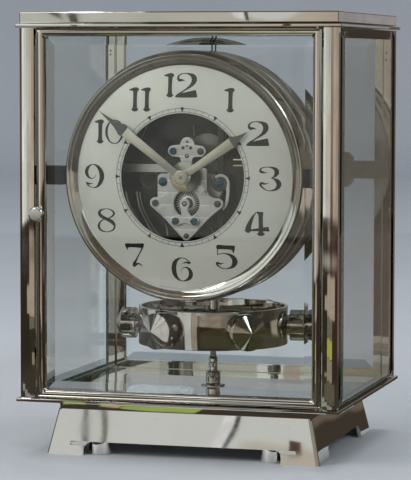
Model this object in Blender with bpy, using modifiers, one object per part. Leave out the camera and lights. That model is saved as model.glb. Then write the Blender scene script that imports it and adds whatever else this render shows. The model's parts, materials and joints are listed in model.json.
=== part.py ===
"""Glazed mantel clock that is wound by changes in air temperature.

A polished nickel case with bevelled panes stands on a flared plinth. Inside, a round
movement with an open-centred dial hangs between the front posts, a rocking motor drum
turns behind it, and a torsion pendulum with six weights hangs from a wire under the
top plate. Metres, +Z up, front towards -Y. Depth is counted from the front of the
posts towards the back, and bearings round the pendulum from the front to the right.
"""
import math

import bmesh
import bpy
from mathutils import Vector

# Clearances
SEAT_GAP = 0.0003
RUN_GAP = 0.00015
OVERRUN = 0.002
SHOULDER = 0.0001

# Case: posts, plates and cap
CASE_WIDTH = 0.183
CASE_DEPTH = 0.155
POST_WIDTH = 0.0083
POST_LEAF = 0.0046
POST_RIB = 0.0038
POST_CROWN = 0.0005
POST_HEIGHT = 0.2078
PLATE_THICKNESS = 0.002
PLATE_OVERHANG = 0.002
PLATE_EDGE = 0.0005
CAP_HEIGHT = 0.0063
CAP_WALL = 0.0015
CAP_EDGE = 0.0006

# Plinth and levelling feet
PLINTH_HEIGHT = 0.0255
PLINTH_FOOT_WIDTH = 0.1594
PLINTH_FOOT_DEPTH = 0.135
PLINTH_TOP_WIDTH = 0.1482
PLINTH_TOP_DEPTH = 0.1258
PLINTH_WALL = 0.0016
PLINTH_CORNER = 0.002
NECK_HEIGHT = 0.0052
NECK_SET_IN = 0.0004
ARCH_HEIGHT = 0.0076
ARCH_FOOT_WIDTH = 0.0222
ARCH_SIDE_FOOT = 0.0265
ARCH_RADIUS = 0.004
LIP_HEIGHT = 0.0024
LIP_LENGTH = 0.0085
LIP_CUT = 0.0009
LIP_RISE = 0.0002
FOOT_RADIUS = 0.007
FOOT_HEIGHT = 0.0088
FOOT_SET_IN = 0.0292
FOOT_SET_BACK = 0.0102
STUD_RADIUS = 0.0025
STUD_LENGTH = 0.0125
FOOT_EDGE = 0.0009
BOSS_RADIUS = 0.0045
BOSS_GAP = 0.0009

# Door and fixed rear frame
DOOR_GAP = 0.001
DOOR_THICKNESS = 0.007
STILE_WIDTH = 0.0053
RAIL_WIDTH = 0.0047
FRAME_ROUND = 0.0018
FRAME_CORNER = 0.003
FRAME_LIP = 0.001
GLASS_RECESS = 0.0036
PANE_THICKNESS = 0.003
PANE_SET_IN = 0.0003
BEVEL_WIDTH = 0.0055
BEVEL_DROP = 0.0014
HINGE_SET_IN = 0.0026
HINGE_SET_BACK = 0.0022
HINGE_PIN_RADIUS = 0.001
HINGE_PIN_LENGTH = 0.006

# Door knob and its latch
KNOB_RADIUS = 0.004
KNOB_HEAD = 0.0045
KNOB_PROJECTION = 0.008
KNOB_NECK_RADIUS = 0.0022
SPINDLE_RADIUS = 0.0012
KNOB_EDGE = 0.0005
LATCH_LENGTH = 0.006
LATCH_WIDTH = 0.0032
LATCH_THICKNESS = 0.0014

# Dial, bezel and movement case
DIAL_HEIGHT = 0.1583
DIAL_FRONT = 0.0133
DIAL_OPENING_RADIUS = 0.0357
DIAL_SET_IN = 0.0069
DIAL_DISH = 0.0037
DIAL_SHEET = 0.0006
BEZEL_RADIUS_MOST = 0.0707
BEZEL_ROOM = 0.012
BEZEL_LIP_SET_IN = 0.0084
BEZEL_RIM_SET_IN = 0.0028
BEZEL_LENGTH = 0.0094
BEZEL_WALL = 0.0017
BEZEL_LIP = 0.0006
BEZEL_EDGE = 0.0005
BEZEL_CURVE_SHARE = 0.75
BEZEL_CURVE_STEPS = 4
DISH_CURVE = 1.5
DISH_STEPS = 3
MOVEMENT_CASE_LENGTH = 0.0224
MOVEMENT_CASE_WALL = 0.0012
BRACKET_HEIGHT = 0.0106
BRACKET_WIDTH = 0.0033
BRACKET_ARM = 0.007

# Movement plates, counted back from the dial's front
BRIDGE_SET_BACK = 0.0082
BRIDGE_THICKNESS = 0.0025
BRIDGE_REACH = 0.0357
COCK_THICKNESS = 0.0013
BACK_PLATE_SET_BACK = 0.0197
BACK_PLATE_THICKNESS = 0.002
PILLAR_RADIUS = 0.0021
BARREL_BRIDGE_GAP = 0.008
BARREL_BRIDGE_THICKNESS = 0.0023
BARREL_BRIDGE_LEG = 0.003
ESCAPE_DROP = 0.015
PALLET_DROP = 0.033
RECESS_RADIUS = 0.0072

# Wheels: numbers of teeth, and the distances between the arbors
CENTRE_TEETH = 30
THIRD_PINION_TEETH = 8
CENTRE_DISTANCE = 0.0116
THIRD_TEETH = 30
ESCAPE_PINION_TEETH = 8
THIRD_DISTANCE = 0.01176
ESCAPE_TEETH = 36
ESCAPE_RADIUS = 0.0068
ESCAPE_TOOTH = 0.0012
CANNON_TEETH = 12
MINUTE_TEETH = 36
HOUR_PINION_TEETH = 8
HOUR_TEETH = 32
MOTION_DISTANCE = 0.0119
BARREL_TEETH = 40
BARREL_PINION_TEETH = 8
BARREL_DISTANCE = 0.021
RATCHET_TEETH = 24
RATCHET_RADIUS = 0.0085
RATCHET_TOOTH = 0.0012
ESCAPE_LEAN_SHARE = 0.35
RATCHET_LEAN_SHARE = 0.1
SAW_START_SHARE = 0.25
BARREL_RIM_WIDTH = 0.0014
WHEEL_THICKNESS = 0.0007
PINION_EXTRA = 0.0003
LAYER_GAP = 0.0006
ARBOR_RADIUS = 0.0011
PIVOT_RADIUS = 0.0006
CENTRE_ARBOR_RADIUS = 0.0014
CENTRE_TIP_RADIUS = 0.001
HOUR_PIPE_WALL = 0.0006
BARREL_DEPTH = 0.0056
BARREL_WALL = 0.0009
BARREL_ARBOR_RADIUS = 0.0022
SPRING_THICKNESS = 0.0004
SPRING_TURNS = 4
TOOTH_WIDTH_SHARE = 0.42
TOOTH_TIP_SHARE = 0.45
TOOTH_ROOT_SHARE = 1.25
ADDENDUM_SHARE = 0.8
DEDENDUM_SHARE = 1.15
MINUTE_ARBOR_BEARING = math.radians(-35)
CENTRE_MODULE = 2 * CENTRE_DISTANCE / (CENTRE_TEETH + THIRD_PINION_TEETH)
THIRD_MODULE = 2 * THIRD_DISTANCE / (THIRD_TEETH + ESCAPE_PINION_TEETH)
MOTION_MODULE = 2 * MOTION_DISTANCE / (CANNON_TEETH + MINUTE_TEETH)
HOUR_MODULE = 2 * MOTION_DISTANCE / (HOUR_PINION_TEETH + HOUR_TEETH)
BARREL_MODULE = 2 * BARREL_DISTANCE / (BARREL_TEETH + BARREL_PINION_TEETH)

# Hands
HAND_THICKNESS = 0.0006
MINUTE_HAND_LENGTH = 0.060
HOUR_HAND_LENGTH = 0.0456
HAND_BAR_WIDTH = 0.0056
HAND_ROOT_WIDTH = 0.0034
HAND_NIB_WIDTH = 0.0074
HOUR_NIB_LENGTH = 0.0112
MINUTE_NIB_LENGTH = 0.019
NIB_SHOULDER_SHARE = 0.1
NIB_WAIST_SHARE = 0.5
NIB_WAIST_WIDTH_SHARE = 0.28
HAND_BOSS_RADIUS = 0.004
HOUR_BOSS_RADIUS = 0.0035
HAND_SPACING = 0.0009
HAND_STAND_OFF = 0.0009
MINUTE_HAND_TURN = math.radians(307.5)
HOUR_HAND_TURN = math.radians(55.8)

# Motor drum
DRUM_SET_IN = 0.0002
DRUM_LENGTH = 0.0157
DRUM_WALL = 0.0012
DRUM_EDGE = 0.0005
DRUM_HUB_RADIUS = 0.007
DRUM_ARBOR_RADIUS = 0.004
MOTOR_TUBE_RADIUS = 0.005
MOTOR_TUBE_TURN = math.radians(300)

# Rear support
YOKE_GAP = 0.0023
YOKE_THICKNESS = 0.0025
YOKE_WIDTH = 0.1
YOKE_HEIGHT = 0.021
YOKE_ROD_RADIUS = 0.003
ARBOR_HEAD_RADIUS = 0.006
ARBOR_HEAD_LENGTH = 0.002
CROSS_BAR_SET_IN = 0.0166
CROSS_BAR_THICKNESS = 0.005
CROSS_BAR_PLATE_WIDTH = 0.132
CROSS_BAR_CHAMFER = 0.003

# Suspension and pendulum
WIRE_RADIUS = 0.0004
WIRE_CLEARANCE = 0.0086
HANGER_WIDTH = 0.014
HANGER_DEPTH = 0.009
HANGER_HEIGHT = 0.004
HANGER_PIN_RADIUS = 0.0005
HANGER_PIN_SPACING = 0.0021
HANGER_PIN_LENGTH = 0.0151
CLAMP_WIDTH = 0.006
CLAMP_DEPTH = 0.005
CLAMP_HEIGHT = 0.008
RING_RADIUS_MOST = 0.0435
RING_ROOM = 0.006
RING_HEIGHT = 0.022
RING_WALL = 0.0018
RING_CLEARANCE = 0.0259
HUB_RADIUS = 0.005
HUB_DROP = 0.0014
HUB_LENGTH = 0.016
SPOKE_COUNT = 3
SPOKE_WIDTH = 0.005
SPOKE_THICKNESS = 0.003
STEM_RADIUS = 0.00325
STEM_LENGTH = 0.0265
GUIDE_PIN_RADIUS = 0.00175
GUIDE_PIN_LENGTH = 0.0095
WEIGHT_COUNT = 6
FIRST_WEIGHT_BEARING = math.radians(-22)
LARGE_WEIGHT_SHARE = 0.239
SMALL_WEIGHT_SHARE = 0.207
WEIGHT_BODY = 0.0085
WEIGHT_POINT = 0.0042
WEIGHT_NECK = 0.0018
WEIGHT_NECK_SHARE = 0.138
WEIGHT_EDGE = 0.0005
SMALL_WEIGHTS = (2, 5)

# Pillar on the floor with its sliding lock
PILLAR_FLANGE_RADIUS = 0.007
PILLAR_FLANGE_HEIGHT = 0.0015
COLLET_RADIUS = 0.0043
COLLET_HEIGHT = 0.0078
LOCK_RADIUS = 0.0026
LOCK_BORE_RADIUS = 0.00205
LOCK_LENGTH = 0.0155
LOCK_VISIBLE = 0.0083

# Steps round turned and rounded shapes
COARSE_STEPS = 12
FINE_STEPS = 24
LARGE_STEPS = 48
CORNER_STEPS = 3
MERGE_DISTANCE = 0.000001
SHARP_ANGLE = math.radians(35)

# Outlines, as shares of the size that each follows
BRIDGE_SHARES = (
    (-0.12, 0.62, 0.12), (0.12, 0.62, 0.12), (0.12, 0.5, 0.03), (0.31, 0.5, 0.085),
    (0.31, 0.33, 0.085), (0.14, 0.33, 0.03), (0.1, 0.24, 0.05), (0.17, 0.13, 0.08),
    (0.32, 0.13, 0.07), (0.32, -0.26, 0.04), (0.4, -0.34, 0.07), (0.6, -0.34, 0.08),
    (0.6, -0.5, 0.08), (0.09, -1.0, 0.07), (-0.09, -1.0, 0.07), (-0.6, -0.5, 0.08),
    (-0.6, -0.34, 0.08), (-0.47, -0.34, 0.03), (-0.47, 0.03, 0.09), (-0.28, 0.03, 0.09),
    (-0.17, 0.13, 0.05), (-0.1, 0.24, 0.05), (-0.14, 0.33, 0.03), (-0.31, 0.33, 0.085),
    (-0.31, 0.5, 0.085), (-0.12, 0.5, 0.03),
)
COCK_SHARES = (
    (-0.25, -0.63, 0.05), (-0.04, -0.63, 0.03), (0.0, -0.52, 0.03), (-0.1, -0.47, 0.05),
    (-0.1, -0.33, 0.08), (0.09, -0.33, 0.08), (0.11, -0.5, 0.06), (0.1, -0.63, 0.03),
    (0.22, -0.63, 0.05), (0.22, -0.77, 0.05), (-0.25, -0.77, 0.05),
)
PILLAR_SHARES = ((-0.515, -0.42), (0.515, -0.42), (0.0, 0.51))
BARREL_BRIDGE_FEET_SHARES = ((-1.1, -0.35), (1.1, -0.35), (0.0, 2.05))
PALLET_SHARES = (
    (-0.07, -0.07, 0.05), (0.07, -0.07, 0.05), (0.1, 0.2, 0.1), (0.5, 0.34, 0.12),
    (0.62, 0.8, 0.02), (0.5, 0.86, 0.02), (0.36, 0.5, 0.1), (0.0, 0.36, 0.15),
    (-0.36, 0.5, 0.1), (-0.5, 0.86, 0.02), (-0.62, 0.8, 0.02), (-0.5, 0.34, 0.12),
    (-0.1, 0.2, 0.1),
)

# Depths and heights worked out from the sizes above
FRONT_Y = -(CASE_DEPTH + PLATE_OVERHANG - KNOB_PROJECTION) / 2
NECK_TOP = PLINTH_HEIGHT + NECK_HEIGHT
FLOOR_LOW = NECK_TOP + SEAT_GAP
FLOOR = FLOOR_LOW + PLATE_THICKNESS
POST_TOP = FLOOR + SEAT_GAP + POST_HEIGHT
CEILING = POST_TOP + SEAT_GAP
CEILING_TOP = CEILING + PLATE_THICKNESS
CASE_MIDDLE = CASE_DEPTH / 2
POST_INNER = CASE_WIDTH / 2 - POST_WIDTH
POST_DEPTH = POST_LEAF + POST_RIB
PANE_OUTER = CASE_WIDTH / 2 - PANE_SET_IN
PANE_INNER = PANE_OUTER - PANE_THICKNESS
DOOR_WIDTH = 2 * (POST_INNER - DOOR_GAP)
DOOR_LOW = FLOOR + SEAT_GAP
DOOR_HIGH = CEILING - SEAT_GAP
DOOR_CENTRE_HEIGHT = (DOOR_LOW + DOOR_HIGH) / 2
HINGE_X = DOOR_WIDTH / 2 - HINGE_SET_IN
KNOB_X = -(DOOR_WIDTH / 2 - STILE_WIDTH / 2)

BEZEL_RADIUS = min(BEZEL_RADIUS_MOST, POST_INNER - BEZEL_ROOM)
BEZEL_LIP_RADIUS = BEZEL_RADIUS - BEZEL_LIP_SET_IN
BEZEL_RIM_RADIUS = BEZEL_RADIUS - BEZEL_RIM_SET_IN
DIAL_RADIUS = BEZEL_RADIUS - DIAL_SET_IN
DRUM_RADIUS = BEZEL_RADIUS - DRUM_SET_IN
BEZEL_FRONT = DIAL_FRONT + SEAT_GAP
BEZEL_BACK = BEZEL_FRONT + BEZEL_LENGTH
DIAL_EDGE_FRONT = DIAL_FRONT + DIAL_DISH
MOVEMENT_CASE_FRONT = BEZEL_BACK + SEAT_GAP
MOVEMENT_CASE_BACK = MOVEMENT_CASE_FRONT + MOVEMENT_CASE_LENGTH
MOVEMENT_CASE_BORE = BEZEL_RADIUS - SEAT_GAP - MOVEMENT_CASE_WALL
BRIDGE_FRONT = DIAL_FRONT + BRIDGE_SET_BACK
BRIDGE_BACK = BRIDGE_FRONT + BRIDGE_THICKNESS
BACK_PLATE_FRONT = DIAL_FRONT + BACK_PLATE_SET_BACK
BACK_PLATE_BACK = BACK_PLATE_FRONT + BACK_PLATE_THICKNESS
BARREL_BRIDGE_FRONT = BACK_PLATE_BACK + BARREL_BRIDGE_GAP
BARREL_BRIDGE_BACK = BARREL_BRIDGE_FRONT + BARREL_BRIDGE_THICKNESS

LAYER = WHEEL_THICKNESS + LAYER_GAP
ESCAPE_LAYER = BRIDGE_BACK + LAYER_GAP
THIRD_LAYER = ESCAPE_LAYER + LAYER
CENTRE_LAYER = THIRD_LAYER + LAYER + PINION_EXTRA
MINUTE_LAYER = CENTRE_LAYER + LAYER + PINION_EXTRA
BARREL_LAYER = BACK_PLATE_BACK + LAYER_GAP + PINION_EXTRA + SEAT_GAP

MINUTE_HAND_FRONT = DIAL_FRONT - HAND_STAND_OFF - 2 * HAND_THICKNESS - HAND_SPACING
HOUR_HAND_FRONT = DIAL_FRONT - HAND_STAND_OFF - HAND_THICKNESS
HOUR_LAYER = BRIDGE_FRONT - COCK_THICKNESS - LAYER - LAYER_GAP

DRUM_FRONT = MOVEMENT_CASE_BACK + SEAT_GAP
DRUM_BACK = DRUM_FRONT + DRUM_LENGTH
YOKE_FRONT = DRUM_BACK + YOKE_GAP
YOKE_BACK = YOKE_FRONT + YOKE_THICKNESS
ARBOR_END = YOKE_BACK + SEAT_GAP + ARBOR_HEAD_LENGTH
WIRE_DEPTH = ARBOR_END + WIRE_CLEARANCE
CROSS_BAR_BACK = CASE_DEPTH - POST_DEPTH - SEAT_GAP
CROSS_BAR_FRONT = CASE_DEPTH - CROSS_BAR_SET_IN
CROSS_BAR_ARM_END = POST_INNER - DOOR_GAP

WEIGHT_LENGTH = WEIGHT_NECK + WEIGHT_BODY + WEIGHT_POINT
REAR_PANE_DEPTH = CASE_DEPTH - GLASS_RECESS - PANE_THICKNESS
RING_RADIUS = min(RING_RADIUS_MOST, REAR_PANE_DEPTH - WIRE_DEPTH - WEIGHT_LENGTH - RING_ROOM)
RING_LOW = FLOOR + RING_CLEARANCE
RING_MIDDLE = RING_LOW + RING_HEIGHT / 2
HUB_LOW = RING_LOW - HUB_DROP
CLAMP_LOW = CEILING - SEAT_GAP - HANGER_HEIGHT - HANGER_PIN_LENGTH - CLAMP_HEIGHT
COLLET_TOP = FLOOR + SEAT_GAP + PILLAR_FLANGE_HEIGHT + COLLET_HEIGHT

DIAL_CENTRE = (0.0, DIAL_HEIGHT)


def clear_scene():
    """Remove every object that is already in the scene."""
    for old in list(bpy.data.objects):
        bpy.data.objects.remove(old, do_unlink=True)


def make_collection(name):
    """Return a new collection, linked to the scene."""
    group = bpy.data.collections.new(name)
    bpy.context.scene.collection.children.link(group)
    return group


def make_material(name, colour, roughness, metallic, transmission=0.0):
    """Return a Principled material."""
    material = bpy.data.materials.new(name)
    material.use_nodes = True
    shader = material.node_tree.nodes["Principled BSDF"]
    shader.inputs["Base Color"].default_value = (*colour, 1.0)
    shader.inputs["Roughness"].default_value = roughness
    shader.inputs["Metallic"].default_value = metallic
    shader.inputs["Transmission Weight"].default_value = transmission
    material.diffuse_color = (*colour, 1.0)
    return material


clear_scene()
PARTS = make_collection("atmospheric_clock")
CUTTERS = make_collection("cutters")

NICKEL = make_material("polished_nickel", (0.72, 0.71, 0.66), 0.08, 1.0)
SATIN = make_material("satin_nickel", (0.62, 0.62, 0.6), 0.35, 1.0)
STEEL = make_material("polished_steel", (0.45, 0.44, 0.42), 0.15, 1.0)
SILVERED = make_material("silvered_dial", (0.62, 0.63, 0.6), 0.5, 0.4)
BRASS = make_material("brass", (0.66, 0.5, 0.3), 0.3, 1.0)
BLACKED = make_material("blackened_brass", (0.02, 0.02, 0.02), 0.5, 0.6)
GLASS = make_material("plate_glass", (0.85, 0.93, 0.9), 0.02, 0.0, 1.0)


def at(x, depth, z):
    """Return the point at this depth behind the front of the posts."""
    return Vector((x, FRONT_Y + depth, z))


def add_object(name, mesh, material, location=(0, 0, 0), turn=(0, 0, 0)):
    """Link a mesh as an object of the clock."""
    thing = bpy.data.objects.new(name, mesh)
    thing.location = location
    thing.rotation_euler = turn
    if material is not None:
        mesh.materials.clear()
        mesh.materials.append(material)
    PARTS.objects.link(thing)
    return thing


def as_cutter(thing):
    """Move an object to the cutters, out of the model."""
    PARTS.objects.unlink(thing)
    CUTTERS.objects.link(thing)
    thing.hide_render = True
    thing.display_type = "WIRE"
    return thing


def combine(target, operand, operation):
    """Cut, join or trim the target with another object."""
    modifier = target.modifiers.new(operand.name, "BOOLEAN")
    modifier.operation = operation
    modifier.solver = "EXACT"
    modifier.object = as_cutter(operand)


def cut(target, *operands):
    """Cut each operand from the target."""
    for operand in operands:
        combine(target, operand, "DIFFERENCE")


def join(target, *operands):
    """Join each operand to the target as one body."""
    for operand in operands:
        combine(target, operand, "UNION")


def box(name, low, high, material=None):
    """Return a box between two corners."""
    low, high = Vector(low), Vector(high)
    mesh = bpy.data.meshes.new(name)
    shape = bmesh.new()
    bmesh.ops.create_cube(shape, size=1.0)
    bmesh.ops.scale(shape, vec=high - low, verts=shape.verts)
    shape.to_mesh(mesh)
    shape.free()
    return add_object(name, mesh, material, (low + high) / 2)


def tapered_box(name, foot, top, low, high, corner, material=None):
    """Return a box whose four walls lean, with rounded upright corners."""
    mesh = bpy.data.meshes.new(name)
    shape = bmesh.new()
    bmesh.ops.create_cube(shape, size=1.0)
    for vertex in shape.verts:
        width, length = top if vertex.co.z > 0 else foot
        height = high if vertex.co.z > 0 else low
        vertex.co = Vector((vertex.co.x * width, vertex.co.y * length, height))
    if corner > 0:
        upright = [
            edge for edge in shape.edges
            if (edge.verts[0].co.z > (low + high) / 2) != (edge.verts[1].co.z > (low + high) / 2)
        ]
        bmesh.ops.bevel(
            shape, geom=upright, offset=corner, offset_type="OFFSET",
            segments=CORNER_STEPS, profile=0.5, affect="EDGES",
        )
    shape.to_mesh(mesh)
    shape.free()
    return add_object(name, mesh, material, at(0, CASE_MIDDLE, 0))


def soften(thing, width, segments=2):
    """Round the sharp edges of an object."""
    modifier = thing.modifiers.new("soft_edges", "BEVEL")
    modifier.width = width
    modifier.segments = segments
    modifier.limit_method = "ANGLE"
    modifier.angle_limit = SHARP_ANGLE


def smooth(thing):
    """Shade an object smooth, with its sharp edges kept."""
    thing.data.shade_smooth()
    thing.data.set_sharp_from_angle(angle=SHARP_ANGLE)


def turned(name, profile, steps, location, material=None, turn=(0, 0, 0), ring=False):
    """Turn a profile of (radius, height) points, listed down its outer side."""
    mesh = bpy.data.meshes.new(name)
    points = [(radius, 0, height) for radius, height in profile]
    edges = [(index, index + 1) for index in range(len(points) - 1)]
    if ring:
        edges.append((len(points) - 1, 0))
    mesh.from_pydata(points, edges, [])
    thing = add_object(name, mesh, material, location, turn)
    modifier = thing.modifiers.new("turning", "SCREW")
    modifier.axis = "Z"
    modifier.angle = 2 * math.pi
    modifier.steps = steps
    modifier.render_steps = steps
    modifier.use_merge_vertices = True
    modifier.merge_threshold = MERGE_DISTANCE
    modifier.use_smooth_shade = True
    return thing


def turned_back(name, profile, steps, centre, material=None, ring=False):
    """Turn a profile of (radius, depth) points about a line that runs front to back.

    The points run from the front to the back on the outer side.
    """
    heights = [(radius, -depth) for radius, depth in profile]
    location = at(centre[0], 0, centre[1])
    return turned(name, heights, steps, location, material, (math.pi / 2, 0, 0), ring)


def rod(radius, front, back):
    """Return the profile of a plain round bar."""
    return [(0, front), (radius, front), (radius, back), (0, back)]


def tube(inner, outer, front, back):
    """Return the closed profile of a plain tube."""
    return [(outer, front), (outer, back), (inner, back), (inner, front)]


def circle(centre, radius, steps=FINE_STEPS):
    """Return the points of a circle."""
    turns = [2 * math.pi * step / steps for step in range(steps)]
    return [(centre[0] + radius * math.cos(turn), centre[1] + radius * math.sin(turn)) for turn in turns]


def rounded(corners, segments=CORNER_STEPS):
    """Return an outline whose corners (x, y, radius) are rounded by arcs."""
    outline = []
    count = len(corners)
    for index, (x, y, radius) in enumerate(corners):
        here = Vector((x, y))
        before = Vector(corners[index - 1][:2]) - here
        after = Vector(corners[(index + 1) % count][:2]) - here
        half = before.angle(after) / 2
        reach = min(radius / math.tan(half), before.length / 2, after.length / 2)
        arc_radius = reach * math.tan(half)
        if arc_radius < MERGE_DISTANCE:
            outline.append((x, y))
            continue
        inward = (before.normalized() + after.normalized()).normalized()
        centre = here + inward * (arc_radius / math.sin(half))
        first = here + before.normalized() * reach - centre
        last = here + after.normalized() * reach - centre
        sweep = first.angle_signed(last)
        for step in range(segments + 1):
            turn = -sweep * step / segments
            cosine, sine = math.cos(turn), math.sin(turn)
            point = Vector((first.x * cosine - first.y * sine, first.x * sine + first.y * cosine))
            outline.append(tuple(centre + point))
    return outline


def scaled(shares, size):
    """Return outline corners from shares of one size."""
    return [tuple(share * size for share in corner) for corner in shares]


def rectangle(half_width, half_height, radius, centre=(0, 0)):
    """Return a rectangle's outline with rounded corners."""
    corners = [
        (centre[0] + side * half_width, centre[1] + end * half_height, radius)
        for side, end in ((-1, -1), (1, -1), (1, 1), (-1, 1))
    ]
    return rounded(corners)


def curve_mesh(curve):
    """Return a curve's closed surface as a mesh."""
    guide = bpy.data.objects.new(curve.name + "_guide", curve)
    bpy.context.scene.collection.objects.link(guide)
    graph = bpy.context.evaluated_depsgraph_get()
    mesh = bpy.data.meshes.new_from_object(guide.evaluated_get(graph))
    bpy.data.objects.remove(guide, do_unlink=True)
    shape = bmesh.new()
    shape.from_mesh(mesh)
    bmesh.ops.remove_doubles(shape, verts=shape.verts, dist=MERGE_DISTANCE)
    bmesh.ops.recalc_face_normals(shape, faces=shape.faces)
    shape.to_mesh(mesh)
    shape.free()
    return mesh


def outline_mesh(name, loops, thickness):
    """Return a closed mesh of flat outlines in the XY plane, with holes."""
    curve = bpy.data.curves.new(name, "CURVE")
    curve.dimensions = "2D"
    curve.fill_mode = "BOTH"
    curve.extrude = thickness / 2
    for loop in loops:
        spline = curve.splines.new("POLY")
        spline.points.add(len(loop) - 1)
        for point, (x, y) in zip(spline.points, loop):
            point.co = (x, y, 0, 1)
        spline.use_cyclic_u = True
    return curve_mesh(curve)


def sheet(name, loops, front, back, material=None, centre=(0, 0)):
    """Return an upright plate, its outline as seen from the front."""
    mesh = outline_mesh(name, loops, back - front)
    location = at(centre[0], (front + back) / 2, centre[1])
    return add_object(name, mesh, material, location, (math.pi / 2, 0, 0))


def slab(name, loops, low, high, material=None, centre=(0, 0)):
    """Return a level plate, its outline as seen from above, in world X and Y."""
    mesh = outline_mesh(name, loops, high - low)
    return add_object(name, mesh, material, (centre[0], centre[1], (low + high) / 2))


def pitch_radius(teeth, module):
    """Return the rolling radius of a wheel."""
    return teeth * module / 2


def wheel_outline(teeth, module, turn):
    """Return a toothed outline with one tooth's middle at this angle."""
    radius = pitch_radius(teeth, module)
    half = TOOTH_WIDTH_SHARE * math.pi / teeth
    tip, root = radius + ADDENDUM_SHARE * module, radius - DEDENDUM_SHARE * module
    flanks = (
        (-half * TOOTH_ROOT_SHARE, root), (-half * TOOTH_TIP_SHARE, tip),
        (half * TOOTH_TIP_SHARE, tip), (half * TOOTH_ROOT_SHARE, root),
    )
    return [
        (reach * math.cos(middle + offset), reach * math.sin(middle + offset))
        for middle in [turn + 2 * math.pi * tooth / teeth for tooth in range(teeth)]
        for offset, reach in flanks
    ]


def saw_outline(teeth, radius, depth, lean):
    """Return an outline of pointed teeth that all lean one way."""
    outline = []
    step = 2 * math.pi / teeth
    for tooth in range(teeth):
        turn = step * (tooth + SAW_START_SHARE)
        outline.append((radius * math.cos(turn), radius * math.sin(turn)))
        foot = turn + step * lean
        outline.append(((radius - depth) * math.cos(foot), (radius - depth) * math.sin(foot)))
    return outline


def bearing(start, end):
    """Return the angle of the line from one centre to another."""
    return math.atan2(end[1] - start[1], end[0] - start[0])


def meshing_turn(teeth, turn, centre, next_teeth, next_centre):
    """Return the turn at which the next wheel's gap meets a tooth."""
    line = bearing(centre, next_centre)
    share = ((turn - line) / (2 * math.pi / teeth)) % 1
    return line + math.pi + (0.5 - share) * 2 * math.pi / next_teeth


def circles_meet(first, first_radius, second, second_radius, side):
    """Return where two circles cross, on the left (-1) or right (1)."""
    gap = math.dist(first, second)
    along = (first_radius ** 2 - second_radius ** 2 + gap ** 2) / (2 * gap)
    across = math.sqrt(first_radius ** 2 - along ** 2)
    down = ((second[0] - first[0]) / gap, (second[1] - first[1]) / gap)
    x = first[0] + along * down[0] - side * across * down[1]
    z = first[1] + along * down[1] + side * across * down[0]
    return (x, z)


# Where the arbors stand, as (x, z)
ESCAPE_CENTRE = (0.0, DIAL_HEIGHT - ESCAPE_DROP)
PALLET_CENTRE = (0.0, DIAL_HEIGHT - PALLET_DROP)
THIRD_CENTRE = circles_meet(DIAL_CENTRE, CENTRE_DISTANCE, ESCAPE_CENTRE, THIRD_DISTANCE, -1)
MINUTE_CENTRE = (
    MOTION_DISTANCE * math.cos(MINUTE_ARBOR_BEARING),
    DIAL_HEIGHT + MOTION_DISTANCE * math.sin(MINUTE_ARBOR_BEARING),
)
BARREL_CENTRE = (0.0, DIAL_HEIGHT + BARREL_DISTANCE)

# The turn of each toothed wheel at rest, so that all are in mesh
CENTRE_TURN = 0.0
THIRD_PINION_TURN = meshing_turn(
    CENTRE_TEETH, CENTRE_TURN, DIAL_CENTRE, THIRD_PINION_TEETH, THIRD_CENTRE)
THIRD_TURN = 0.0
ESCAPE_PINION_TURN = meshing_turn(
    THIRD_TEETH, THIRD_TURN, THIRD_CENTRE, ESCAPE_PINION_TEETH, ESCAPE_CENTRE)
CANNON_TURN = 0.0
MINUTE_WHEEL_TURN = meshing_turn(
    CANNON_TEETH, CANNON_TURN, DIAL_CENTRE, MINUTE_TEETH, MINUTE_CENTRE)
HOUR_PINION_TURN = 0.0
HOUR_WHEEL_TURN = meshing_turn(
    HOUR_PINION_TEETH, HOUR_PINION_TURN, MINUTE_CENTRE, HOUR_TEETH, DIAL_CENTRE)
BARREL_PINION_TURN = 0.0
BARREL_TURN = meshing_turn(
    BARREL_PINION_TEETH, BARREL_PINION_TURN, DIAL_CENTRE, BARREL_TEETH, BARREL_CENTRE)


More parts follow.
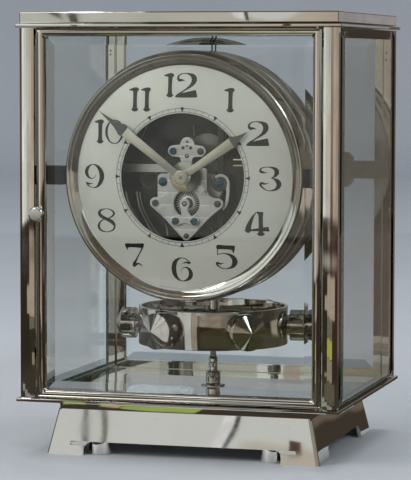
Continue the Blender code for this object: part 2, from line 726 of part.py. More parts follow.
def make_plinth():
    """Make the flared hollow base with its neck, arches, lips and foot bosses."""
    plinth = tapered_box(
        "plinth", (PLINTH_FOOT_WIDTH, PLINTH_FOOT_DEPTH), (PLINTH_TOP_WIDTH, PLINTH_TOP_DEPTH),
        0, PLINTH_HEIGHT, PLINTH_CORNER, NICKEL,
    )
    neck_width = PLINTH_TOP_WIDTH - 2 * NECK_SET_IN
    neck_depth = PLINTH_TOP_DEPTH - 2 * NECK_SET_IN
    neck = tapered_box(
        "join_neck", (neck_width, neck_depth), (neck_width, neck_depth),
        PLINTH_HEIGHT - PLINTH_WALL, NECK_TOP, PLINTH_CORNER,
    )
    hollow = tapered_box(
        "cut_plinth_hollow",
        (PLINTH_FOOT_WIDTH - 2 * PLINTH_WALL, PLINTH_FOOT_DEPTH - 2 * PLINTH_WALL),
        (PLINTH_TOP_WIDTH - 2 * PLINTH_WALL, PLINTH_TOP_DEPTH - 2 * PLINTH_WALL),
        -OVERRUN, PLINTH_HEIGHT, 0,
    )
    middle = at(0, CASE_MIDDLE, 0)
    front_arch = sheet(
        "cut_front_arch",
        [rectangle(PLINTH_FOOT_WIDTH / 2 - ARCH_FOOT_WIDTH, ARCH_HEIGHT, ARCH_RADIUS)],
        -OVERRUN, CASE_DEPTH + OVERRUN,
    )
    side_half = PLINTH_FOOT_DEPTH / 2 - ARCH_SIDE_FOOT
    side_mesh = outline_mesh(
        "cut_side_arch", [rectangle(side_half, ARCH_HEIGHT, ARCH_RADIUS)], CASE_WIDTH + 2 * OVERRUN)
    side_arch = add_object("cut_side_arch", side_mesh, None, middle, (math.pi / 2, 0, math.pi / 2))
    lean = (PLINTH_FOOT_DEPTH - PLINTH_TOP_DEPTH) / 2 / PLINTH_HEIGHT
    lip_face = PLINTH_FOOT_DEPTH / 2 - lean * ARCH_HEIGHT
    lip_half = PLINTH_FOOT_WIDTH / 2 - ARCH_FOOT_WIDTH + LIP_LENGTH
    lip_middle = ARCH_HEIGHT + LIP_RISE - LIP_HEIGHT / 2
    lips = []
    for name, side in (("cut_front_lip", -1), ("cut_rear_lip", 1)):
        inner = CASE_MIDDLE + side * (lip_face - LIP_CUT)
        outer = inner + side * (LIP_CUT + OVERRUN)
        groove = rectangle(lip_half, LIP_HEIGHT / 2, LIP_CUT, (0, lip_middle))
        lips.append(sheet(name, [groove], min(inner, outer), max(inner, outer)))
    join(plinth, neck)
    cut(plinth, hollow, front_arch, side_arch, *lips)
    bore_top = FOOT_HEIGHT + STUD_LENGTH + BOSS_GAP
    bore_radius = STUD_RADIUS + RUN_GAP
    for index, (x, y) in enumerate(foot_places(), start=1):
        boss = turned(
            "join_boss_%d" % index,
            [(0, PLINTH_HEIGHT + PLINTH_WALL), (BOSS_RADIUS, PLINTH_HEIGHT + PLINTH_WALL),
             (BOSS_RADIUS, FOOT_HEIGHT + BOSS_GAP), (0, FOOT_HEIGHT + BOSS_GAP)],
            COARSE_STEPS, (x, y, 0),
        )
        bore = turned(
            "cut_bore_%d" % index,
            [(0, bore_top), (bore_radius, bore_top), (bore_radius, FOOT_HEIGHT), (0, FOOT_HEIGHT)],
            COARSE_STEPS, (x, y, 0),
        )
        join(plinth, boss)
        cut(plinth, bore)


def foot_places():
    """Return the world X and Y of the four levelling feet."""
    x = PLINTH_FOOT_WIDTH / 2 - FOOT_SET_IN
    y = PLINTH_FOOT_DEPTH / 2 - FOOT_SET_BACK
    middle = FRONT_Y + CASE_MIDDLE
    return [(-x, middle - y), (x, middle - y), (-x, middle + y), (x, middle + y)]


def make_feet():
    """Make the four levelling feet, each a disc on a screwed stud."""
    names = ("front_left", "front_right", "rear_left", "rear_right")
    top = FOOT_HEIGHT + STUD_LENGTH
    profile = [
        (0, top), (STUD_RADIUS, top), (STUD_RADIUS, FOOT_HEIGHT), (FOOT_RADIUS - FOOT_EDGE, FOOT_HEIGHT),
        (FOOT_RADIUS, FOOT_HEIGHT - FOOT_EDGE), (FOOT_RADIUS, FOOT_EDGE),
        (FOOT_RADIUS - FOOT_EDGE, 0), (0, 0),
    ]
    for name, (x, y) in zip(names, foot_places()):
        turned("levelling_foot_" + name, profile, COARSE_STEPS, (x, y, 0), STEEL)


def make_case_plates():
    """Make the floor and ceiling plates and the cap that covers the ceiling."""
    half_width = CASE_WIDTH / 2 + PLATE_OVERHANG
    low_depth, high_depth = -PLATE_OVERHANG, CASE_DEPTH + PLATE_OVERHANG
    pin_places = (("bottom_plate", FLOOR_LOW, FLOOR), ("top_plate", CEILING, CEILING_TOP))
    for name, low, high in pin_places:
        plate = box(name, at(-half_width, low_depth, low), at(half_width, high_depth, high), NICKEL)
        bore = turned(
            "cut_pin_hole_" + name,
            [(0, high + OVERRUN), (HINGE_PIN_RADIUS + RUN_GAP, high + OVERRUN),
             (HINGE_PIN_RADIUS + RUN_GAP, low - OVERRUN), (0, low - OVERRUN)],
            COARSE_STEPS, at(HINGE_X, HINGE_SET_BACK, 0),
        )
        soften(plate, PLATE_EDGE)
        cut(plate, bore)
    low = CEILING_TOP + SEAT_GAP
    high = low + CAP_HEIGHT
    half = CASE_WIDTH / 2
    cap = box("cap", at(-half, 0, low), at(half, CASE_DEPTH, high), NICKEL)
    soften(cap, CAP_EDGE)
    inner = half - CAP_WALL
    hollow_low = at(-inner, CAP_WALL, low - OVERRUN)
    hollow_high = at(inner, CASE_DEPTH - CAP_WALL, high - CAP_WALL)
    cut(cap, box("cut_cap_hollow", hollow_low, hollow_high))


def post_outline(side, end):
    """Return a post's outline as seen from above, its outer face slightly crowned."""
    outer = CASE_WIDTH / 2
    inner = POST_INNER
    rib_outer = PANE_INNER - SEAT_GAP
    face = [
        (outer - POST_WIDTH * step / (2 * CORNER_STEPS),
         POST_CROWN * (2 * step / (2 * CORNER_STEPS) - 1) ** 2)
        for step in range(2 * CORNER_STEPS + 1)
    ]
    back = [(inner, POST_DEPTH), (rib_outer, POST_DEPTH), (rib_outer, POST_LEAF), (outer, POST_LEAF)]
    points = []
    for x, depth in face + back:
        y = FRONT_Y + (depth if end < 0 else CASE_DEPTH - depth)
        points.append((side * x, y))
    return points


def make_posts():
    """Make the four corner posts."""
    for name, side, end in (
        ("post_front_left", -1, -1), ("post_front_right", 1, -1),
        ("post_rear_left", -1, 1), ("post_rear_right", 1, 1),
    ):
        low = FLOOR + SEAT_GAP
        smooth(slab(name, [post_outline(side, end)], low, POST_TOP, NICKEL))


def bevelled_pane(name, width, height, location, turn):
    """Return a pane with a wide bevel round its outer face."""
    mesh = bpy.data.meshes.new(name)
    shape = bmesh.new()
    bmesh.ops.create_cube(shape, size=1.0)
    edge = PANE_THICKNESS - BEVEL_DROP
    bmesh.ops.scale(shape, vec=(width, height, edge), verts=shape.verts)
    bmesh.ops.translate(shape, vec=(0, 0, edge / 2), verts=shape.verts)
    shape.faces.ensure_lookup_table()
    face = max(shape.faces, key=lambda item: item.calc_center_median().z)
    bmesh.ops.inset_region(shape, faces=[face], thickness=BEVEL_WIDTH, use_even_offset=True)
    bmesh.ops.translate(shape, vec=(0, 0, BEVEL_DROP), verts=face.verts)
    shape.to_mesh(mesh)
    shape.free()
    return add_object(name, mesh, GLASS, location, turn)


def make_side_panes():
    """Make the two side panes, which stand between the posts."""
    front = POST_LEAF + SEAT_GAP
    width = CASE_DEPTH - 2 * front
    height = POST_HEIGHT
    middle = FLOOR + SEAT_GAP + POST_HEIGHT / 2
    for name, side in (("side_glass_left", -1), ("side_glass_right", 1)):
        location = at(side * PANE_INNER, CASE_MIDDLE, middle)
        bevelled_pane(name, width, height, location, (math.pi / 2, 0, side * math.pi / 2))


def make_frame(name, pane_name, outer_depth, end):
    """Make a moulded frame and its pane; end is -1 at the front, 1 at the rear."""
    half_width = DOOR_WIDTH / 2
    half_height = (DOOR_HIGH - DOOR_LOW) / 2
    opening = (half_width - STILE_WIDTH, half_height - RAIL_WIDTH)
    mesh = outline_mesh(
        name,
        [rectangle(half_width, half_height, 0), rectangle(*opening, FRAME_CORNER)],
        DOOR_THICKNESS,
    )
    turn = (math.pi / 2, 0, 0 if end < 0 else math.pi)
    middle = at(0, outer_depth - end * DOOR_THICKNESS / 2, DOOR_CENTRE_HEIGHT)
    frame = add_object(name, mesh, NICKEL, middle, turn)
    bevel = frame.modifiers.new("moulding", "BEVEL")
    bevel.width = FRAME_ROUND
    bevel.segments = 2
    bevel.limit_method = "VGROUP"
    group = frame.vertex_groups.new(name="outer_face")
    outer = [vertex.index for vertex in mesh.vertices if vertex.co.z > 0]
    group.add(outer, 1.0, "ADD")
    bevel.vertex_group = "outer_face"
    pane_half = (opening[0] + FRAME_LIP, opening[1] + FRAME_LIP)
    rebate_depth = outer_depth - end * GLASS_RECESS
    inner_depth = outer_depth - end * (DOOR_THICKNESS + OVERRUN)
    rebate = box(
        "cut_rebate_" + name,
        at(-pane_half[0], min(rebate_depth, inner_depth), DOOR_CENTRE_HEIGHT - pane_half[1]),
        at(pane_half[0], max(rebate_depth, inner_depth), DOOR_CENTRE_HEIGHT + pane_half[1]),
    )
    cut(frame, rebate)
    back_of_pane = outer_depth - end * (GLASS_RECESS + SEAT_GAP + PANE_THICKNESS)
    bevelled_pane(
        pane_name, 2 * (pane_half[0] - SEAT_GAP), 2 * (pane_half[1] - SEAT_GAP),
        at(0, back_of_pane, DOOR_CENTRE_HEIGHT), turn,
    )
    return frame


def make_door():
    """Make the door, its pane, the fixed rear frame and the hinge pins."""
    door = make_frame("door_frame", "door_glass", 0, -1)
    make_frame("rear_frame", "rear_glass", CASE_DEPTH, 1)
    pin_reach = HINGE_PIN_LENGTH + RUN_GAP
    ends = (
        ("bottom", FLOOR_LOW, DOOR_LOW + HINGE_PIN_LENGTH, DOOR_LOW - OVERRUN, DOOR_LOW + pin_reach),
        ("top", DOOR_HIGH - HINGE_PIN_LENGTH, CEILING_TOP, DOOR_HIGH - pin_reach, DOOR_HIGH + OVERRUN),
    )
    place = at(HINGE_X, HINGE_SET_BACK, 0)
    for end, low, high, hole_low, hole_high in ends:
        turned(
            "hinge_pin_" + end,
            [(0, high), (HINGE_PIN_RADIUS, high), (HINGE_PIN_RADIUS, low), (0, low)],
            COARSE_STEPS, place, STEEL,
        )
        hole = HINGE_PIN_RADIUS + RUN_GAP
        cut(door, turned(
            "cut_hinge_" + end, [(0, hole_high), (hole, hole_high), (hole, hole_low), (0, hole_low)],
            COARSE_STEPS, place,
        ))
    hole = SPINDLE_RADIUS + RUN_GAP
    cut(door, turned_back(
        "cut_spindle", rod(hole, -OVERRUN, DOOR_THICKNESS + OVERRUN), COARSE_STEPS,
        (KNOB_X, DOOR_CENTRE_HEIGHT),
    ))


def make_knob():
    """Make the door knob, its spindle and the latch that swings behind the post."""
    latch_front = POST_DEPTH + SEAT_GAP
    latch_back = latch_front + LATCH_THICKNESS
    head_back = KNOB_HEAD - KNOB_PROJECTION
    centre = (KNOB_X, DOOR_CENTRE_HEIGHT)
    knob = turned_back(
        "door_knob",
        [(0, -KNOB_PROJECTION), (KNOB_RADIUS - KNOB_EDGE, -KNOB_PROJECTION),
         (KNOB_RADIUS, KNOB_EDGE - KNOB_PROJECTION), (KNOB_RADIUS, head_back - KNOB_EDGE),
         (KNOB_NECK_RADIUS, head_back), (KNOB_NECK_RADIUS, -SEAT_GAP),
         (SPINDLE_RADIUS, -SEAT_GAP), (SPINDLE_RADIUS, latch_back + SHOULDER), (0, latch_back + SHOULDER)],
        FINE_STEPS, centre, NICKEL,
    )
    half = LATCH_WIDTH / 2
    blade = rounded(
        [(-half, half, half), (-half, -LATCH_LENGTH, half), (half, -LATCH_LENGTH, half), (half, half, half)])
    join(knob, sheet("join_latch", [blade], latch_front, latch_back, None, centre))


def make_bezel_and_dial():
    """Make the bezel, the dished dial and the round case behind them."""
    lip_back = DIAL_EDGE_FRONT - SEAT_GAP
    lip_front = lip_back - BEZEL_LIP
    bore = BEZEL_RADIUS - BEZEL_WALL
    dial_pocket = DIAL_RADIUS + SEAT_GAP
    shoulder = DIAL_EDGE_FRONT + DIAL_SHEET + SEAT_GAP
    round_start = BEZEL_FRONT + BEZEL_EDGE
    curve_depth = BEZEL_LENGTH * BEZEL_CURVE_SHARE
    outer = [
        (BEZEL_RIM_RADIUS + (BEZEL_RADIUS - BEZEL_RIM_RADIUS) * math.sin(share * math.pi / 2),
         round_start + curve_depth * (1 - math.cos(share * math.pi / 2)))
        for share in [step / BEZEL_CURVE_STEPS for step in range(1, BEZEL_CURVE_STEPS + 1)]
    ]
    profile = [(BEZEL_RIM_RADIUS - BEZEL_EDGE, BEZEL_FRONT), (BEZEL_RIM_RADIUS, round_start)] + outer + [
        (BEZEL_RADIUS, BEZEL_BACK), (bore, BEZEL_BACK), (bore, shoulder), (dial_pocket, shoulder),
        (dial_pocket, lip_back), (BEZEL_LIP_RADIUS, lip_back), (BEZEL_LIP_RADIUS, lip_front),
    ]
    turned_back("bezel", profile, LARGE_STEPS, DIAL_CENTRE, NICKEL, ring=True)
    shares = [step / DISH_STEPS for step in range(DISH_STEPS + 1)]
    width = DIAL_RADIUS - DIAL_OPENING_RADIUS
    face = [
        (DIAL_OPENING_RADIUS + width * share, DIAL_FRONT + DIAL_DISH * share ** DISH_CURVE)
        for share in shares
    ]
    back = [(radius, depth + DIAL_SHEET) for radius, depth in reversed(face)]
    turned_back("dial", face + back, LARGE_STEPS, DIAL_CENTRE, SILVERED, ring=True)
    outside = MOVEMENT_CASE_BORE + MOVEMENT_CASE_WALL
    turned_back(
        "movement_case", tube(MOVEMENT_CASE_BORE, outside, MOVEMENT_CASE_FRONT, MOVEMENT_CASE_BACK),
        LARGE_STEPS, DIAL_CENTRE, NICKEL, ring=True,
    )


def make_brackets():
    """Make the two side brackets that carry the movement from the front posts."""
    foot_front = POST_DEPTH + SEAT_GAP
    arm_back = BEZEL_BACK
    arm_front = arm_back - BRACKET_ARM
    outer = POST_INNER + BRACKET_WIDTH
    inner = BEZEL_RADIUS + SEAT_GAP
    corners = [
        (outer, foot_front, 0), (outer, arm_back, 0), (inner, arm_back, 0), (inner, arm_front, 0),
        (outer - BRACKET_WIDTH, arm_front, 0), (outer - BRACKET_WIDTH, foot_front, 0),
    ]
    low = DIAL_HEIGHT - BRACKET_HEIGHT / 2
    high = DIAL_HEIGHT + BRACKET_HEIGHT / 2
    for name, side in (("front_bracket_left", -1), ("front_bracket_right", 1)):
        outline = [(side * x, FRONT_Y + depth) for x, depth, _ in corners]
        slab(name, [outline], low, high, BLACKED)


def make_plates():
    """Make the bridge, the cock on it, the back plate with its pillars and the barrel bridge."""
    pivot_hole = PIVOT_RADIUS + RUN_GAP
    centre_hole = CENTRE_ARBOR_RADIUS + RUN_GAP
    relative = [(x, z - DIAL_HEIGHT) for x, z in (ESCAPE_CENTRE, THIRD_CENTRE, MINUTE_CENTRE, PALLET_CENTRE)]
    escape, third, minute, pallet = relative
    minute_hole = ARBOR_RADIUS + RUN_GAP
    sheet(
        "movement_bridge",
        [rounded(scaled(BRIDGE_SHARES, BRIDGE_REACH)), circle((0, 0), centre_hole, COARSE_STEPS),
         circle(escape, RECESS_RADIUS), circle(third, pivot_hole, COARSE_STEPS),
         circle(minute, minute_hole, COARSE_STEPS), circle(pallet, pivot_hole, COARSE_STEPS)],
        BRIDGE_FRONT, BRIDGE_BACK, SATIN, DIAL_CENTRE,
    )
    cock_back = BRIDGE_FRONT - SEAT_GAP
    sheet(
        "escape_cock",
        [rounded(scaled(COCK_SHARES, BRIDGE_REACH)), circle(escape, pivot_hole, COARSE_STEPS)],
        cock_back - COCK_THICKNESS, cock_back, SATIN, DIAL_CENTRE,
    )
    disc = circle((0, 0), MOVEMENT_CASE_BORE - SEAT_GAP, LARGE_STEPS)
    holes = [circle(point, pivot_hole, COARSE_STEPS) for point in relative]
    back_plate = sheet(
        "movement_back_plate", [disc, circle((0, 0), centre_hole, COARSE_STEPS)] + holes,
        BACK_PLATE_FRONT, BACK_PLATE_BACK, BLACKED, DIAL_CENTRE,
    )
    for index, (x, z) in enumerate(scaled(PILLAR_SHARES, BRIDGE_REACH), start=1):
        pillar = rod(PILLAR_RADIUS, BRIDGE_BACK + SEAT_GAP, BACK_PLATE_FRONT + SEAT_GAP)
        join(back_plate, turned_back(
            "join_pillar_%d" % index, pillar, COARSE_STEPS, (x, DIAL_HEIGHT + z)))
    make_barrel_bridge(centre_hole)


def make_barrel_bridge(centre_hole):
    """Make the plate behind the barrel, with a leg at each corner."""
    feet = scaled(BARREL_BRIDGE_FEET_SHARES, BARREL_DISTANCE)
    spread = 2 * BARREL_BRIDGE_LEG
    corners = [(x + spread * math.copysign(1, x) * bool(x), z, spread) for x, z in feet[:2]]
    left, right = corners
    top_x, top_z = feet[2]
    outline = rounded([
        (left[0], left[1] - spread, spread), (right[0], right[1] - spread, spread),
        (right[0], right[1] + spread, spread), (top_x + spread, top_z + spread, spread),
        (top_x - spread, top_z + spread, spread), (left[0], left[1] + spread, spread),
    ])
    barrel_hole = circle((0, BARREL_DISTANCE), BARREL_ARBOR_RADIUS + RUN_GAP, COARSE_STEPS)
    bridge = sheet(
        "barrel_bridge", [outline, circle((0, 0), centre_hole, COARSE_STEPS), barrel_hole],
        BARREL_BRIDGE_FRONT, BARREL_BRIDGE_BACK, BRASS, DIAL_CENTRE,
    )
    for index, (x, z) in enumerate(feet, start=1):
        leg = rod(BARREL_BRIDGE_LEG, BACK_PLATE_BACK + SEAT_GAP, BARREL_BRIDGE_FRONT + SEAT_GAP)
        join(bridge, turned_back("join_leg_%d" % index, leg, COARSE_STEPS, (x, DIAL_HEIGHT + z)))


def toothed_disc(name, teeth, module, turn, front, centre, extra=0.0, material=None):
    """Return a toothed disc whose front is at this depth."""
    outline = wheel_outline(teeth, module, turn)
    return sheet(name, [outline], front - extra, front + WHEEL_THICKNESS + extra, material, centre)


def make_centre_wheel():
    """Make the centre arbor with its wheel, cannon pinion and barrel pinion."""
    tip_front = MINUTE_HAND_FRONT + HAND_THICKNESS + SEAT_GAP
    barrel_pinion_back = BARREL_LAYER + WHEEL_THICKNESS + PINION_EXTRA
    arbor = turned_back(
        "centre_wheel",
        [(0, tip_front), (CENTRE_TIP_RADIUS, tip_front), (CENTRE_TIP_RADIUS, BRIDGE_FRONT - SEAT_GAP),
         (CENTRE_ARBOR_RADIUS, BRIDGE_FRONT - SEAT_GAP), (CENTRE_ARBOR_RADIUS, BARREL_BRIDGE_BACK),
         (0, BARREL_BRIDGE_BACK)],
        COARSE_STEPS, DIAL_CENTRE, BRASS,
    )
    wheel = toothed_disc("join_centre", CENTRE_TEETH, CENTRE_MODULE, CENTRE_TURN, CENTRE_LAYER, DIAL_CENTRE)
    cannon = toothed_disc(
        "join_cannon", CANNON_TEETH, MOTION_MODULE, CANNON_TURN, MINUTE_LAYER, DIAL_CENTRE, PINION_EXTRA)
    pinion = sheet(
        "join_barrel_pinion", [wheel_outline(BARREL_PINION_TEETH, BARREL_MODULE, BARREL_PINION_TURN)],
        BARREL_LAYER - PINION_EXTRA, barrel_pinion_back, None, DIAL_CENTRE,
    )
    join(arbor, wheel, cannon, pinion)


def arbor_profile(front, back, front_radius=PIVOT_RADIUS):
    """Return an arbor's profile, with its pivots in the bridge and the back plate."""
    shoulder_front = BRIDGE_BACK + SEAT_GAP
    shoulder_back = BACK_PLATE_FRONT - SEAT_GAP
    return [
        (0, front), (front_radius, front), (front_radius, shoulder_front), (ARBOR_RADIUS, shoulder_front),
        (ARBOR_RADIUS, shoulder_back), (PIVOT_RADIUS, shoulder_back), (PIVOT_RADIUS, back), (0, back),
    ]


def make_train():
    """Make the third wheel, the escape wheel and the pallets."""
    back = BACK_PLATE_BACK - SEAT_GAP
    third = turned_back(
        "third_wheel", arbor_profile(BRIDGE_FRONT + SEAT_GAP, back), COARSE_STEPS, THIRD_CENTRE, BRASS)
    join(
        third,
        toothed_disc("join_third", THIRD_TEETH, THIRD_MODULE, THIRD_TURN, THIRD_LAYER, THIRD_CENTRE),
        toothed_disc(
            "join_third_pinion", THIRD_PINION_TEETH, CENTRE_MODULE, THIRD_PINION_TURN, CENTRE_LAYER,
            THIRD_CENTRE, PINION_EXTRA),
    )
    cock_front = BRIDGE_FRONT - SEAT_GAP - COCK_THICKNESS
    escape = turned_back("escape_wheel", arbor_profile(cock_front, back), COARSE_STEPS, ESCAPE_CENTRE, STEEL)
    join(
        escape,
        sheet(
            "join_escape", [saw_outline(ESCAPE_TEETH, ESCAPE_RADIUS, ESCAPE_TOOTH, ESCAPE_LEAN_SHARE)],
            ESCAPE_LAYER, ESCAPE_LAYER + WHEEL_THICKNESS, None, ESCAPE_CENTRE),
        toothed_disc(
            "join_escape_pinion", ESCAPE_PINION_TEETH, THIRD_MODULE, ESCAPE_PINION_TURN, THIRD_LAYER,
            ESCAPE_CENTRE, PINION_EXTRA),
    )
    pallets = turned_back(
        "pallet_lever", arbor_profile(BRIDGE_FRONT + SEAT_GAP, back), COARSE_STEPS, PALLET_CENTRE, STEEL)
    anchor = rounded(scaled(PALLET_SHARES, PALLET_DROP - ESCAPE_DROP))
    join(pallets, sheet(
        "join_anchor", [anchor], ESCAPE_LAYER, ESCAPE_LAYER + WHEEL_THICKNESS, None, PALLET_CENTRE))


def make_motion_work():
    """Make the minute wheel with its hour pinion, and the hour wheel on its pipe."""
    back = BACK_PLATE_BACK - SEAT_GAP
    pinion_front = HOUR_LAYER - PINION_EXTRA
    minute = turned_back(
        "minute_wheel", arbor_profile(pinion_front, back, ARBOR_RADIUS), COARSE_STEPS, MINUTE_CENTRE, BRASS)
    join(
        minute,
        toothed_disc(
            "join_minute", MINUTE_TEETH, MOTION_MODULE, MINUTE_WHEEL_TURN, MINUTE_LAYER, MINUTE_CENTRE),
        toothed_disc(
            "join_hour_pinion", HOUR_PINION_TEETH, HOUR_MODULE, HOUR_PINION_TURN, HOUR_LAYER,
            MINUTE_CENTRE, PINION_EXTRA),
    )
    bore = CENTRE_TIP_RADIUS + RUN_GAP
    pipe_front = HOUR_HAND_FRONT + HAND_THICKNESS + SEAT_GAP
    wheel_back = HOUR_LAYER + WHEEL_THICKNESS
    hour = turned_back(
        "hour_wheel", tube(bore, bore + HOUR_PIPE_WALL, pipe_front, wheel_back + SHOULDER), COARSE_STEPS,
        DIAL_CENTRE, BRASS, ring=True,
    )
    hole = circle((0, 0), bore + HOUR_PIPE_WALL / 2, COARSE_STEPS)
    disc = sheet(
        "join_hour", [wheel_outline(HOUR_TEETH, HOUR_MODULE, HOUR_WHEEL_TURN), hole],
        HOUR_LAYER, wheel_back, None, DIAL_CENTRE,
    )
    join(hour, disc)


def hand_outline(length, nib_length, turn):
    """Return a hand that widens outwards and ends in a hollow-sided point."""
    bar_end = length - nib_length
    shoulder = bar_end + nib_length * NIB_SHOULDER_SHARE
    waist = bar_end + nib_length * NIB_WAIST_SHARE
    right = [
        (HAND_ROOT_WIDTH / 2, 0), (HAND_BAR_WIDTH / 2, bar_end), (HAND_NIB_WIDTH / 2, shoulder),
        (HAND_NIB_WIDTH / 2 * NIB_WAIST_WIDTH_SHARE, waist),
    ]
    left = [(-x, y) for x, y in reversed(right)]
    outline = right + [(0, length)] + left
    cosine, sine = math.cos(-turn), math.sin(-turn)
    return [(x * cosine - y * sine, x * sine + y * cosine) for x, y in outline]


def make_hands():
    """Make the hour hand with its collar and the minute hand with its boss."""
    hour = sheet(
        "hour_hand", [hand_outline(HOUR_HAND_LENGTH, HOUR_NIB_LENGTH, HOUR_HAND_TURN)],
        HOUR_HAND_FRONT, HOUR_HAND_FRONT + HAND_THICKNESS, SATIN, DIAL_CENTRE,
    )
    collar = rod(HOUR_BOSS_RADIUS, HOUR_HAND_FRONT - SHOULDER, HOUR_HAND_FRONT + HAND_THICKNESS + SHOULDER)
    join(hour, turned_back("join_hour_boss", collar, COARSE_STEPS, DIAL_CENTRE))
    cut(hour, turned_back(
        "cut_hour_boss", rod(CENTRE_TIP_RADIUS + RUN_GAP, HOUR_HAND_FRONT - OVERRUN, DIAL_FRONT + OVERRUN),
        COARSE_STEPS, DIAL_CENTRE))
    minute = sheet(
        "minute_hand", [hand_outline(MINUTE_HAND_LENGTH, MINUTE_NIB_LENGTH, MINUTE_HAND_TURN)],
        MINUTE_HAND_FRONT, MINUTE_HAND_FRONT + HAND_THICKNESS, SATIN, DIAL_CENTRE,
    )
    boss = rod(HAND_BOSS_RADIUS, MINUTE_HAND_FRONT - HAND_THICKNESS, MINUTE_HAND_FRONT + HAND_THICKNESS / 2)
    join(minute, turned_back("join_minute_boss", boss, FINE_STEPS, DIAL_CENTRE))


def make_barrel():
    """Make the barrel, the mainspring in it and the winding arbor with its ratchet."""
    outer = pitch_radius(BARREL_TEETH, BARREL_MODULE) - BARREL_RIM_WIDTH
    hole = BARREL_ARBOR_RADIUS + RUN_GAP
    front = BARREL_LAYER
    back = front + BARREL_DEPTH - WHEEL_THICKNESS - LAYER_GAP
    floor_back = front + BARREL_WALL
    barrel = turned_back(
        "mainspring_barrel",
        [(outer, front), (outer, back), (outer - BARREL_WALL, back), (outer - BARREL_WALL, floor_back),
         (hole, floor_back), (hole, front)],
        FINE_STEPS, BARREL_CENTRE, BRASS, ring=True,
    )
    rim = sheet(
        "join_barrel_teeth",
        [wheel_outline(BARREL_TEETH, BARREL_MODULE, BARREL_TURN),
         circle((0, 0), outer - BARREL_WALL / 2, FINE_STEPS)],
        front + SHOULDER, front + WHEEL_THICKNESS, None, BARREL_CENTRE,
    )
    join(barrel, rim)
    make_mainspring(outer - BARREL_WALL - SEAT_GAP, floor_back + SEAT_GAP, back - SEAT_GAP)
    ratchet_front = back + LAYER_GAP / 2
    arbor = turned_back(
        "winding_arbor", rod(BARREL_ARBOR_RADIUS, BACK_PLATE_BACK + SEAT_GAP, BARREL_BRIDGE_BACK),
        COARSE_STEPS, BARREL_CENTRE, STEEL,
    )
    join(arbor, sheet(
        "join_ratchet", [saw_outline(RATCHET_TEETH, RATCHET_RADIUS, RATCHET_TOOTH, RATCHET_LEAN_SHARE)],
        ratchet_front, ratchet_front + WHEEL_THICKNESS, None, BARREL_CENTRE))


def make_mainspring(outer, front, back):
    """Make the flat coiled mainspring, wound against the barrel wall."""
    inner = outer / 2
    steps = SPRING_TURNS * COARSE_STEPS
    pitch = (outer - inner - SPRING_THICKNESS) / SPRING_TURNS
    outside, inside = [], []
    for step in range(steps + 1):
        turn = 2 * math.pi * step / COARSE_STEPS
        radius = outer - pitch * step / COARSE_STEPS
        outside.append((radius * math.cos(turn), radius * math.sin(turn)))
        radius -= SPRING_THICKNESS
        inside.append((radius * math.cos(turn), radius * math.sin(turn)))
    sheet("mainspring", [outside + inside[::-1]], front, back, STEEL, BARREL_CENTRE)


def make_drum():
    """Make the rocking motor drum, its cover and the sealed tube inside it."""
    bore = DRUM_RADIUS - DRUM_WALL
    hub_bore = DRUM_ARBOR_RADIUS + RUN_GAP
    cover_front = DRUM_BACK - DRUM_WALL
    rim = DRUM_RADIUS - DRUM_EDGE
    front_wall = DRUM_FRONT + DRUM_WALL
    hub_back = cover_front - SEAT_GAP
    turned_back(
        "motor_drum",
        [(rim, DRUM_FRONT), (DRUM_RADIUS, DRUM_FRONT + DRUM_EDGE), (DRUM_RADIUS, hub_back),
         (bore, hub_back), (bore, front_wall), (DRUM_HUB_RADIUS, front_wall),
         (DRUM_HUB_RADIUS, hub_back), (hub_bore, hub_back), (hub_bore, DRUM_FRONT)],
        LARGE_STEPS, DIAL_CENTRE, NICKEL, ring=True,
    )
    turned_back(
        "drum_rear_cover",
        [(DRUM_RADIUS, cover_front), (DRUM_RADIUS, DRUM_BACK - DRUM_EDGE),
         (rim, DRUM_BACK), (hub_bore, DRUM_BACK), (hub_bore, cover_front)],
        LARGE_STEPS, DIAL_CENTRE, NICKEL, ring=True,
    )
    curve = bpy.data.curves.new("motor_tube", "CURVE")
    curve.dimensions = "3D"
    curve.bevel_depth = MOTOR_TUBE_RADIUS
    curve.bevel_resolution = 2
    curve.use_fill_caps = True
    spline = curve.splines.new("POLY")
    count = FINE_STEPS
    spline.points.add(count)
    ring_radius = bore - SEAT_GAP - MOTOR_TUBE_RADIUS
    for index, point in enumerate(spline.points):
        turn = -math.pi / 2 + MOTOR_TUBE_TURN * (index / count - 0.5)
        point.co = (ring_radius * math.cos(turn), 0, ring_radius * math.sin(turn), 1)
    location = at(0, (front_wall + hub_back) / 2, DIAL_HEIGHT)
    add_object("motor_tube", curve_mesh(curve), GLASS, location)


def make_rear_support():
    """Make the drum's fixed arbor, the yoke behind it and the cross bar at the back."""
    front = BARREL_BRIDGE_BACK + SEAT_GAP
    turned_back(
        "drum_arbor",
        [(0, front), (DRUM_ARBOR_RADIUS, front), (DRUM_ARBOR_RADIUS, YOKE_BACK + SEAT_GAP),
         (ARBOR_HEAD_RADIUS, YOKE_BACK + SEAT_GAP), (ARBOR_HEAD_RADIUS, ARBOR_END), (0, ARBOR_END)],
        FINE_STEPS, DIAL_CENTRE, STEEL,
    )
    yoke = sheet(
        "rear_yoke",
        [rectangle(YOKE_WIDTH / 2, YOKE_HEIGHT / 2, YOKE_HEIGHT / 2),
         circle((0, 0), DRUM_ARBOR_RADIUS + RUN_GAP, FINE_STEPS)],
        YOKE_FRONT, YOKE_BACK, SATIN, DIAL_CENTRE,
    )
    rod_x = YOKE_WIDTH / 2 - YOKE_HEIGHT / 2
    for name, side in (("join_yoke_rod_left", -1), ("join_yoke_rod_right", 1)):
        profile = rod(YOKE_ROD_RADIUS, YOKE_BACK - YOKE_THICKNESS / 2, CROSS_BAR_FRONT - SEAT_GAP)
        join(yoke, turned_back(name, profile, COARSE_STEPS, (side * rod_x, DIAL_HEIGHT)))
    make_cross_bar()


